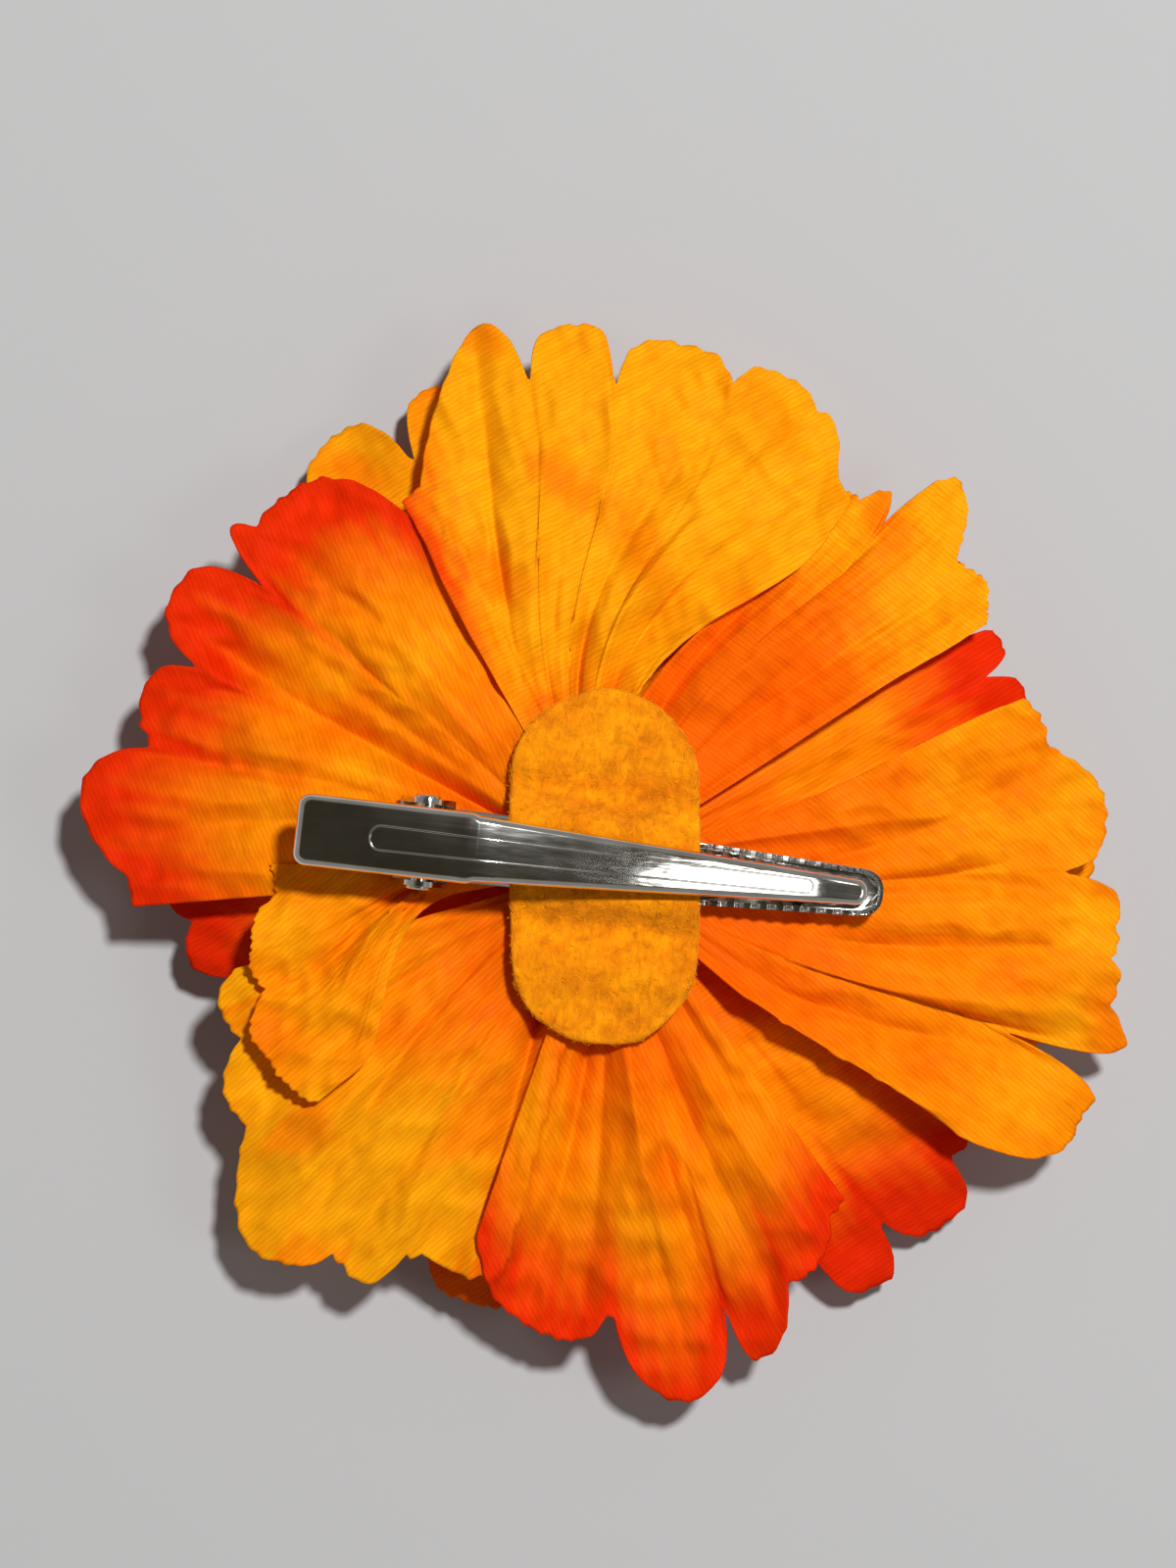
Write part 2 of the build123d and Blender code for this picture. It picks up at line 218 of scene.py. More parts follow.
class Signal:
    """One output of a shader node, with arithmetic."""

    def __init__(self, tree, socket):
        self.tree = tree
        self.socket = socket

    def _maths(self, operation, first, second):
        node = self.tree.nodes.new("ShaderNodeMath")
        node.operation = operation
        for place, value in enumerate((first, second)):
            if isinstance(value, Signal):
                self.tree.links.new(value.socket, node.inputs[place])
            else:
                node.inputs[place].default_value = value
        return Signal(self.tree, node.outputs[0])

    def __add__(self, other):
        return self._maths("ADD", self, other)

    def __sub__(self, other):
        return self._maths("SUBTRACT", self, other)

    def __rsub__(self, other):
        return self._maths("SUBTRACT", other, self)

    def __mul__(self, other):
        return self._maths("MULTIPLY", self, other)

    def __truediv__(self, other):
        return self._maths("DIVIDE", self, other)

    def __rtruediv__(self, other):
        return self._maths("DIVIDE", other, self)

    __radd__ = __add__
    __rmul__ = __mul__


class Finish:
    """A material on one Principled shader. Keyword values are set on the shader's own sockets."""

    def __init__(self, name, **values):
        self.material = bpy.data.materials.new(name)
        self.material.use_nodes = True
        self.tree = self.material.node_tree
        self.shader = self.tree.nodes["Principled BSDF"]
        for key, value in values.items():
            label = "Specular IOR Level" if key == "specular" else key.replace("_", " ").title()
            self.shader.inputs[label].default_value = value

    def node(self, kind, output=0, settings=None, **values):
        """Adds a node. settings are set first. values go to its sockets by name, or as _0, _1, ..."""
        node = self.tree.nodes.new("ShaderNode" + kind)
        for key, value in (settings or {}).items():
            if key == "stops":
                elements = node.color_ramp.elements
                while len(elements) < len(value):
                    elements.new(0.5)
                for element, (position, colour) in zip(elements, value):
                    element.position = position
                    element.color = (*colour, 1)
            else:
                setattr(node, key, value)
        for key, value in values.items():
            place = int(key[1:]) if key[0] == "_" else key
            self.link(value, node.inputs[place])
        return Signal(self.tree, node.outputs[output])

    def link(self, value, socket):
        if isinstance(value, Signal):
            self.tree.links.new(value.socket, socket)
        else:
            socket.default_value = value

    def surface(self, shader):
        """The material shows this shader instead of the Principled one alone."""
        self.link(shader, self.tree.nodes["Material Output"].inputs["Surface"])

    def drive(self, key, value):
        self.link(value, self.shader.inputs[key])

    def bump(self, height, depth, strength=1.0):
        """Relief of the given depth in metres, from a height of 0 to 1."""
        self.drive("Normal", self.node("Bump", Height=height, Distance=depth, Strength=strength))

    def tint(self, factor, first, second, blend="MIX"):
        """A mix of two colours. Each is a Signal or three numbers."""
        colours = [c if isinstance(c, Signal) else (*c, 1) for c in (first, second)]
        settings = {"data_type": "RGBA", "blend_type": blend}
        return self.node("Mix", 2, settings, _0=factor, _6=colours[0], _7=colours[1])


print("shader helpers ready")

# %% [markdown]
# Petal cloth is thin polyester satin. Its dye is brushed on by hand: deep orange where the petal
# meets the hub, amber over the body and red at the rim. That large pattern is painted on the mesh as
# a colour attribute, because it follows each petal. The weave is far finer than the mesh, so it comes
# from two wave textures on the petal's own map, which is laid out flat in metres: a twill line and a
# thread across it. The threads raise a fine bump. They also lighten and yellow the base colour along
# the weave, which is a painted satin sheen on top of the weave's real texture. Thin cloth also lets
# light through, so a share of the shader is translucent.

# %% Petal cloth
TWILL_SLANT = math.radians(52)
TWILL_PITCH = 0.00046
WEFT_PITCH = 0.00030
SHOWS_THROUGH = 0.28
WAVE_REPEAT = 0.314  # metres between the bands of a wave texture whose scale is 1


def petal_cloth():
    cloth = Finish("petal_cloth", specular=0.03)
    dye = cloth.node("VertexColor", settings={"layer_name": "dye"})
    flat = cloth.node("UVMap", settings={"uv_map": "cut"})
    twill_map = cloth.node("Mapping", Vector=flat, Rotation=(0, 0, TWILL_SLANT))
    twill = cloth.node("TexWave", 1, Vector=twill_map, Scale=WAVE_REPEAT / TWILL_PITCH,
                       Distortion=3.4, Detail=2.0, **{"Detail Scale": 1.0})
    weft = cloth.node("TexWave", 1, settings={"bands_direction": "Y"}, Vector=twill_map,
                      Scale=WAVE_REPEAT / WEFT_PITCH, Distortion=2.2, Detail=2.0,
                      **{"Detail Scale": 1.6})
    slub_map = cloth.node("Mapping", Vector=twill_map, Scale=(1.0, 0.22, 1.0))
    plane = {"noise_dimensions": "2D"}
    slub = cloth.node("TexNoise", settings=plane, Vector=slub_map, Scale=1100.0, Detail=3.0,
                      Roughness=0.6)
    broken = cloth.node("TexNoise", settings=plane, Vector=flat, Scale=620.0, Detail=2.0)
    threads = twill * broken * 0.55 + weft * 0.12 + slub * 0.65
    # The threads' lighter, yellower colour is a painted satin sheen on the weave, not a dye.
    painted_thread_sheen = cloth.tint(threads, (0.74, 0.63, 0.60), (1.22, 1.42, 1.46))
    cloth.drive("Base Color", cloth.tint(1.0, dye, painted_thread_sheen, "MULTIPLY"))
    cloth.drive("Roughness", 0.48 + slub * 0.25)
    cloth.bump(threads, depth=0.00003, strength=0.7)
    glow = cloth.node("BsdfTranslucent", Color=(0.94, 0.115, 0.001, 1))
    satin = Signal(cloth.tree, cloth.shader.outputs[0])
    cloth.surface(cloth.node("MixShader", _0=SHOWS_THROUGH, _1=satin, _2=glow))
    return cloth.material


petal_material = petal_cloth()
print("petal cloth made")

# %% [markdown]
# Each petal is a sheet that was cut to a scalloped fan and pressed in a hot mould. It is described
# here the way a maker would describe it: where it points, how wide it is at its base and rim, its
# scallops, and its folds. A grid runs across (u, from -1 to 1) and outwards (v, from 0 to 1). Its
# plan comes from the scallops, and its height from the ring's droop, gathers near the hub, broad
# ruffles, and folds. Simulated cloth would not know the pressed pleats, so they are modelled.
#
# `PLAIN` says what a petal is where its own description is silent. Lengths are in millimetres and
# angles in degrees. A scallop is (angle, reach, half width, notch, power), a slit is (angle, depth,
# width), and a fold is (inner angle, outer angle, depth, width, first v, last v).

# %% What a petal is unless it says otherwise
PLAIN = dict(
    start=4.0, opens=(0.1, 0.85), base_turn=0.0, slits=(), tilt=0.0,
    pleats=7, gather=1.35, folds=(), crumple=0.72, flutter=0.3,
    dip=(0.7, 20.0, 3.0), sides_up=(0.5, 0.5), side_roll=0.0, edge_lift=0.0,
    rim_yellow=0.0, hub=0.8, hub_from=0.22, hub_to=0.62, red_from=0.72, flank=0.0, deep=0.0,
    weave=0.0,
)
print(len(PLAIN), "settings that a petal may leave out")

# %% [markdown]
# Three small tools shape every sheet. `smooth` is an even step from 0 to 1. `Ripple` is a field of
# gentle random hills: a noise texture would do, but a few added waves are quick in arrays, and the
# seed makes them the same on each run. `droop` is the side view of a ring of petals: level near the
# peg, then bent down along an arc by the mould.

# %% Steps, ripples and droop


def smooth(low, high, value):
    """0 below low, 1 above high, and an even rise between."""
    share = np.clip((value - low) / (high - low), 0, 1)
    return share * share * (3 - 2 * share)


class Ripple:
    """A repeatable smooth random field over the plan, from a few waves in random directions."""

    def __init__(self, seed, waves=9):
        draw = np.random.default_rng(seed)
        angle = draw.uniform(0, 2 * math.pi, waves)
        pace = draw.uniform(0.6, 1.6, waves)
        self.across = pace * np.cos(angle)
        self.along = pace * np.sin(angle)
        self.start = draw.uniform(0, 2 * math.pi, waves)

    def at(self, x, y, size):
        """About -1 to 1, with features of the given size."""
        turns = 2 * math.pi / size
        total = sum(np.cos(turns * (a * x + b * y) + s)
                    for a, b, s in zip(self.across, self.along, self.start))
        return total / math.sqrt(2 * len(self.start)) * 0.9


def droop(distance, flat, reach, drop):
    """How far a sheet has bent down at a distance from the hub: level to flat, then an arc."""
    run = reach - flat
    bend = (run * run + drop * drop) / (2 * drop)
    past = np.clip(distance - flat, 0, 0.999 * bend)
    return bend - np.sqrt(bend * bend - past * past)


print("10 mm past its level part a petal has dropped", round(float(droop(20, 10, 55, 7.5)), 2), "mm")

# %% [markdown]
# Seen from above, a petal is a fan whose rim was cut by a scalloped die. A curve could be drawn for
# each rim, but the furthest of a few rounded scallops gives the same line from a handful of sizes.
# Slits are cut back into it, and loose threads leave it a little rough.

# %% The petal from above
RIM_TRIM = 0.985
THREADS_IN_RIM = 83


def rim_reach(angle, scallops, least, slits):
    """How far out the rim is at each angle: the furthest scallop's rounded top, less any slits."""
    reach = np.full_like(angle, least)
    for centre, top, half, notch, power in scallops:
        share = np.abs(angle - centre) / half
        reach = np.maximum(reach, RIM_TRIM * top - notch * share**power)
    for centre, depth, width in slits:
        reach = reach - depth * np.exp(-(np.abs(angle - centre) / width) ** 1.4)
    return reach


def outline(spec, u, v, phase, draw):
    """The sheet seen from above: each point's distance and angle from the peg."""
    rim = rim_reach(u * spec["half"], spec["scallops"], spec["least"], spec["slits"])
    rim = rim + 0.5 * np.cos(9 * u + phase[0]) * np.cos(5 * u + phase[1])
    fray = np.convolve(draw.normal(0, 1, u.shape[1]), (0.3, 0.4, 0.3), "same")
    rim = rim + 0.13 * fray + 0.10 * np.cos(THREADS_IN_RIM * u + phase[5])
    distance = spec["start"] + (rim - spec["start"]) * v
    base = spec.get("base_half", spec["half"])
    first, last = spec["opens"]
    half = base + (spec["half"] - base) * smooth(first, last, v)
    lean = spec["base_turn"] * (1 - smooth(first - 0.05, last + 0.05, v))
    return distance, np.radians(spec["azimuth"] + u * half + lean)


print("petal outline ready")

# %% [markdown]
# A hot mould presses two kinds of relief into the cloth. Folds are the few that each petal is known
# by, so its description names them one by one. Pleats are the many fine ones that gather it at the
# peg, so they are drawn at random with the petal's own seed, as valleys, ridges and small steps.

# %% Folds and pleats


def crease(spec, u, v, fold):
    """A fold from one angle at its inner end to another at its outer. Negative depths are ridges."""
    inner, outer, depth, width, first, last = fold
    centre = inner + (outer - inner) * np.clip((v - first) / (last - first), 0, 1)
    share = np.abs(u * spec["half"] - centre) / width
    span = smooth(first - 0.08, first + 0.12, v) * (1 - smooth(last - 0.08, last + 0.10, v))
    return -depth * np.exp(-share**1.3) * span


def pleats(draw, count, u, v):
    """Pressed pleats at uneven places: valleys, ridges and steps that fade out before the rim."""
    for i in range(count):
        centre = -1 + 2 * (i + draw.uniform(0.1, 0.9)) / count
        wander = draw.uniform(-0.30, 0.30)
        width = draw.uniform(0.06, 0.20) * (0.6 + 0.7 * v)
        depth = draw.uniform(0.25, 0.65)
        end = draw.uniform(0.55, 1.2)
        share = (u - centre - wander * v) / width
        fade = smooth(0.03, 0.22, v) * (1 - smooth(0.5 * end, end, v))
        kind = draw.integers(3)
        if kind == 0:
            shape = -np.exp(-np.abs(share) ** 1.2)
        elif kind == 1:
            shape = 0.8 * np.exp(-np.abs(share) ** 1.4)
        else:
            shape = 0.55 * np.tanh(2.0 * share) * np.exp(-np.abs(share) / 3)
        yield depth * fade * shape


print("folds and pleats ready")

# %% [markdown]
# The surface adds everything up in one grid of points: droop, tilt, ruffles, pleats, folds, the dip
# under the felt, raised sides, and a crumple over the whole sheet. Adding plain terms keeps each
# of them easy to change, where sculpting by hand would not repeat.

# %% The petal's surface


def petal_grid(spec, across, outwards):
    """The petal's sheet as arrays of x, y and z in millimetres, with its own coordinates."""
    u, v = np.meshgrid(np.linspace(-1, 1, across), np.linspace(0, 1, outwards) ** 0.92)
    draw = np.random.default_rng(spec["seed"])
    phase = draw.uniform(0, 2 * math.pi, 8)
    field = Ripple(spec["seed"] + 100)
    distance, angle = outline(spec, u, v, phase, draw)
    x = distance * np.cos(angle)
    y = distance * np.sin(angle)

    z = spec["height"] - droop(distance, spec["flat"], spec["reach"], spec["drop"])
    z = z + spec["tilt"] * u * smooth(0.1, 0.8, v)
    waves = spec["waves"]
    ruffle = np.cos(waves * math.pi * u + phase[2] + 0.9 * np.sin(2.2 * v + phase[3]))
    ruffle = ruffle + 0.25 * np.cos(2.3 * waves * math.pi * u + phase[4] + 1.3 * v)
    z = z + spec["ruffle"] * v**1.6 * ruffle
    for pleat in pleats(draw, spec["pleats"], u, v):
        z = z + spec["gather"] * pleat
    flutter = np.cos((11 + draw.uniform(-2, 2)) * u + phase[6] + 5 * v)
    z = z + spec["flutter"] * flutter * smooth(0.72, 1.0, v)
    for fold in spec["folds"]:
        z = z + crease(spec, u, v, fold)
    depth, reach, skew = spec["dip"]
    z = z - depth * (1 - smooth(reach - 1.6, reach + 1.6, distance + skew * u))
    left_up, right_up = spec["sides_up"]
    lip = left_up * smooth(0.70, 1.0, u) + right_up * smooth(0.70, 1.0, -u)
    z = z + lip * smooth(0.10, 0.40, v) * (1 - 0.5 * smooth(0.8, 1.0, v))
    z = z + 0.42 * field.at(x, y, 11.0) * smooth(0.15, 0.5, v)
    crumple = np.abs(field.at(0.55 * x + 31, y, 7.0)) + 0.6 * np.abs(field.at(x, 0.7 * y - 17, 4.5))
    z = z - spec["crumple"] * crumple * smooth(0.2, 0.5, v)
    z = z + spec["edge_lift"] * smooth(0.8, 1.0, v)
    z = z - spec["side_roll"] * np.abs(u) ** 4 * smooth(0.15, 0.6, v)
    return {"x": x, "y": y, "z": z, "u": u, "v": v, "distance": distance, "field": field}


print("petal surface ready")

# %% [markdown]
# Petals lie on one another, so they are laid one at a time from the front of the flower to its
# back, each on a height map of what is already there. A petal keeps its own shape where it is
# clear, rests on the map where it isn't, and is eased in between, as pressed cloth would be. The
# clip stands on the last ring, so the same step holds cloth down under the jaws.

# %% Laying petals on one another
MAP_CELL = 0.5
MAP_HALF = 70.0
FLOOR_GAP = 0.12
CLOTH_GAP = 0.30
JAW_GAP = 0.5
JAW_HALF = 5.0
SINK = 0.06
EASE_ROUNDS = 24
SMOOTH_ROUNDS = 3
map_size = int(2 * MAP_HALF / MAP_CELL)
heap = np.full((map_size, map_size), FLOOR_GAP)


def cells(x, y):
    """The row and column of the map under each point."""
    column = np.clip(((x + MAP_HALF) / MAP_CELL).astype(int), 1, map_size - 2)
    row = np.clip(((y + MAP_HALF) / MAP_CELL).astype(int), 1, map_size - 2)
    return row, column


def eased(z, rounds):
    """The sheet's heights after rounds of averaging with their neighbours."""
    for _ in range(rounds):
        padded = np.pad(z, 1, mode="edge")
        near = padded[:-2, 1:-1] + padded[2:, 1:-1] + padded[1:-1, :-2] + padded[1:-1, 2:]
        z = 0.5 * z + 0.125 * near
    return z


def ceiling(x, y):
    """The highest that cloth may be: just under the clip where the clip is, and free elsewhere."""
    aside = np.abs(y - clip_side) - JAW_HALF
    ahead = np.maximum(tail_x - x, x - tip_x)
    away = np.maximum(np.maximum(aside, ahead), 0)
    return jaw_base - JAW_GAP + 0.9 * away + 0.02 * away**2


def support_under(x, y):
    """The heap's height under each point, blended between cells."""
    column, row = (x + MAP_HALF) / MAP_CELL - 0.5, (y + MAP_HALF) / MAP_CELL - 0.5
    left, low = np.floor(column).astype(int), np.floor(row).astype(int)
    right_share, up_share = column - left, row - low
    left, low = np.clip(left, 0, map_size - 2), np.clip(low, 0, map_size - 2)
    near = heap[low, left] * (1 - right_share) + heap[low, left + 1] * right_share
    far = heap[low + 1, left] * (1 - right_share) + heap[low + 1, left + 1] * right_share
    return near * (1 - up_share) + far * up_share


def lay(grid):
    """Rests the sheet on the heap, and adds it to the heap."""
    support = support_under(grid["x"], grid["y"]) + CLOTH_GAP
    lifted = np.maximum(support - grid["z"], 0)
    z = np.maximum(grid["z"] + eased(lifted, EASE_ROUNDS), support)
    roof = np.maximum(ceiling(grid["x"], grid["y"]), support)
    z = np.minimum(z, roof)
    z = np.maximum(eased(z, SMOOTH_ROUNDS), support - SINK)
    row, column = cells(grid["x"], grid["y"])
    for down in (-1, 0, 1):
        for right in (-1, 0, 1):
            np.maximum.at(heap, (row + down, column + right), z)
    grid["z"] = z
    return grid


print("height map", map_size, "cells a side")

# %% [markdown]
# The dye follows the sheet's own coordinates. Streaks run outwards along the pressed veins, the
# red is strongest on the rim and creeps down the sides, and slow blotches keep any two places
# from being the same orange.

# %% Dyeing
HUB_ORANGE = np.array([0.96, 0.140, 0.001])
AMBER = np.array([0.98, 0.265, 0.001])
YELLOW = np.array([0.99, 0.400, 0.003])
RED = np.array([0.84, 0.030, 0.001])
DEEP_RED = np.array([0.60, 0.006, 0.001])


def blend_colour(first, second, share):
    return first + (second - first) * np.clip(share, 0, 1)[..., None]


def dyed(grid, spec):
    """The dye's colour at each point of the sheet."""
    u, v, x, y, field = (grid[key] for key in ("u", "v", "x", "y", "field"))
    streak = field.at(u * 34, v * 2.0, 3.0)
    blotch = field.at(x, y, 13.0)
    fine = field.at(x * 1.7 + 9, y * 1.7, 5.0)
    bleach = spec["yellow"] + spec["rim_yellow"] * smooth(0.55, 0.95, v)
    colour = blend_colour(AMBER, YELLOW, bleach + 0.62 * blotch + 0.22 * streak + 0.16 * fine)
    drift = smooth(0.25, 0.95, field.at(y * 0.8 + 40, x * 0.8, 12.0) + 0.25 * streak)
    colour = blend_colour(colour, HUB_ORANGE, 0.5 * drift)
    hub = 1 - smooth(spec["hub_from"], spec["hub_to"], v + 0.05 * streak)
    colour = blend_colour(colour, HUB_ORANGE, hub * spec["hub"] + 0.10 * fine)
    rim = smooth(spec["red_from"], 1.02, v + 0.03 * streak + 0.05 * blotch)
    flank = smooth(0.72, 1.05, u + 0.04 * fine)
    red = spec["red"] * rim + spec["flank"] * flank * smooth(0.3, 0.8, v)
    colour = blend_colour(colour, RED, red * 1.25)
    colour = blend_colour(colour, DEEP_RED, spec["deep"] * rim**2)
    return np.clip(colour, 0, 1)


print("dyes, as red, green and blue:", AMBER, YELLOW, RED)

# %% [markdown]
# Two small helpers serve every piece from here on. One turns a closed mesh's faces outwards, and
# the other shades a mesh smooth, gives it its material and adds it to the scene. Operators could do
# both, but they work on whatever is selected, and these work on the mesh that they are given.

# %% Mesh helpers


def face_outwards(mesh):
    work = bmesh.new()
    work.from_mesh(mesh)
    bmesh.ops.recalc_face_normals(work, faces=work.faces)
    work.to_mesh(mesh)
    work.free()


def as_piece(name, mesh, material):
    """Shades a mesh smooth, gives it its one material and adds it as an object."""
    mesh.polygons.foreach_set("use_smooth", np.ones(len(mesh.polygons), bool))
    mesh.materials.clear()
    mesh.materials.append(material)
    return add_object(name, mesh)


print("mesh helpers ready")

# %% [markdown]
# The grid has no thickness yet. A Solidify modifier would give it one, but here the second skin is
# set off along the sheet's own normals in the same arrays, which is quick and keeps every petal
# above the table. The two skins and the strip between their rims make one closed form. It carries
# its flat map, `cut`, in metres, which is turned so that the weave lies as it was cut, and the dye.

# %% Turning a sheet into a closed mesh
CLOTH = 0.22
TABLE_GAP = 0.02


def second_skin(top):
    """The sheet's points, set off by the cloth's thickness on its under side."""
    normal = np.cross(np.gradient(top, axis=1), np.gradient(top, axis=0))
    normal /= np.linalg.norm(normal, axis=-1, keepdims=True)
    if normal[..., 2].mean() < 0:
        normal = -normal
    bottom = top - normal * CLOTH
    bottom[..., 2] = np.maximum(bottom[..., 2], TABLE_GAP)
    return bottom


def closed_faces(rows, columns):
    """The faces of two skins of points and of the strip that joins their rims."""
    count = rows * columns
    place = np.arange(count).reshape(rows, columns)
    a, b, c, d = place[:-1, :-1], place[:-1, 1:], place[1:, 1:], place[1:, :-1]
    upper = np.stack([a, b, c, d], -1).reshape(-1, 4)
    lower = np.stack([a, d, c, b], -1).reshape(-1, 4) + count
    loop = np.concatenate([place[0, :], place[1:, -1], place[-1, -2::-1], place[-2:0:-1, 0]])
    after = np.roll(loop, -1)
    wall = np.stack([loop, loop + count, after + count, after], -1)
    return np.concatenate([upper, lower, wall])


def sheet_mesh(name, grid, colour, material, weave):
    """A closed thin mesh from a sheet, with its flat map and its dye. Returns it and its area."""
    top = np.stack([grid["x"], grid["y"], grid["z"]], -1)
    both = np.concatenate([top.reshape(-1, 3), second_skin(top).reshape(-1, 3)]) * MM
    mesh = bpy.data.meshes.new(name)
    mesh.from_pydata(both.tolist(), [], closed_faces(*grid["x"].shape).tolist())
    face_outwards(mesh)
    turn = math.radians(weave)
    flat = np.stack([grid["x"] * math.cos(turn) - grid["y"] * math.sin(turn),
                     grid["x"] * math.sin(turn) + grid["y"] * math.cos(turn)], -1)
    flat = np.tile(flat.reshape(-1, 2), (2, 1)) * MM
    loops = np.empty(len(mesh.loops), int)
    mesh.loops.foreach_get("vertex_index", loops)
    mesh.uv_layers.new(name="cut").data.foreach_set("uv", flat[loops].ravel())
    rgba = np.ones((len(both), 4), np.float32)
    rgba[:, :3] = np.tile(colour.reshape(-1, 3), (2, 1))
    mesh.color_attributes.new("dye", "FLOAT_COLOR", "POINT").data.foreach_set("color", rgba.ravel())
    piece = as_piece(name, mesh, material)
    edge_a, edge_b = top[1:, :-1] - top[:-1, :-1], top[:-1, 1:] - top[:-1, :-1]
    area = np.linalg.norm(np.cross(edge_a, edge_b), axis=-1).sum()
    return piece, area * MM * MM


print("cloth thickness", CLOTH, "mm")

# %% [markdown]
# The hidden rings come first. The two nearest the face are smaller and cupped, and their rims
# stand on the table. They repeat round the peg, so one description makes each ring. The second
# ring's tips peek out between the rear petals, so each petal there has its own tip and dye.

# %% The hidden rings
INNER = dict(half=33.0, reach=25.0, drop=8.2, flat=6.0, least=20.0, waves=2.5, ruffle=0.5, pleats=5,
             yellow=0.25, hub=0.9, red=0.25,
             scallops=[(-22, 23.6, 12, 2.2, 3), (0, 25.0, 12, 2.0, 3), (22, 23.4, 12, 2.2, 3)])
FRONT = dict(half=34.0, reach=37.0, drop=10.6, flat=7.0, least=31.0, waves=3.0, ruffle=0.6,
             pleats=6, yellow=0.4, red=0.45,
             scallops=[(-25, 35.2, 9, 3.0, 3), (-9, 37.0, 9, 2.6, 3), (8, 36.3, 9, 2.8, 3),
                       (24, 34.8, 9, 3.0, 3)])
MIDDLE = dict(half=25.0, reach=51.5, drop=10.0, flat=8.0, least=38.0, waves=2.5, ruffle=0.6,
              pleats=6)
MIDDLE_PETALS = [
    dict(name="middle_petal_5", azimuth=4, seed=45, yellow=0.5, red=0.2,
         scallops=[(-18, 48, 6, 3, 3), (-7, 49.5, 6, 3.5, 3), (5, 50, 6, 3.5, 3),
                   (17, 47, 7, 3, 3)]),
    dict(name="middle_petal_2", azimuth=191, seed=42, yellow=0.1, red=0.9, red_from=0.45, deep=0.35,
         scallops=[(-20, 46.8, 5, 3, 3), (-11, 46, 5, 3, 3), (-1, 44.5, 5, 3, 3),
                   (7, 43.3, 5, 3, 3), (17, 40.5, 7, 3, 3)]),
    dict(name="middle_petal_3", azimuth=250, seed=43, yellow=0.5, red=0.55,
         scallops=[(-14, 45, 7, 3, 3), (-4, 44, 6, 3, 3), (9, 46.5, 6.5, 3, 3), (18, 44, 5, 3, 3)]),
    dict(name="middle_petal_4", azimuth=317, seed=44, tilt=-0.8, yellow=0.05, red=0.95,
         red_from=0.55, deep=0.4,
         scallops=[(-17, 46, 5, 3, 3), (-7.5, 51.2, 5, 7, 4), (3.5, 50.3, 6.5, 6.5, 4),
                   (13, 46.5, 5, 3, 3), (21, 42, 5, 3, 3)]),
    dict(name="middle_petal_6", azimuth=40, seed=46, half=23.0, height=17.2, drop=8.5, yellow=0.1,
         red=1.0, red_from=0.55, deep=0.25,
         scallops=[(-20, 43, 4, 3, 3), (-12, 46, 5, 3.5, 4), (-4, 46.2, 3.2, 4, 4),
                   (7, 47, 6, 3, 3), (17, 44, 6, 3, 3)]),
    dict(name="middle_petal_1", azimuth=124, seed=41, yellow=0.8, red=0.05,
         scallops=[(-17, 50, 5, 4, 3), (-7, 51.2, 4.7, 6, 4), (5, 51.6, 7, 6, 4),
                   (16, 47, 6, 3, 3)]),
]
print("second ring:", [spec["name"] for spec in MIDDLE_PETALS])

# %% [markdown]
# The rear ring is what is seen, so each of its petals has its own scallops, slits and folds, and
# its own dye. They are listed in the order in which they are laid, the lowest first. The last is
# the narrow loose petal, which comes out from under the clip's tail and opens only near its end.

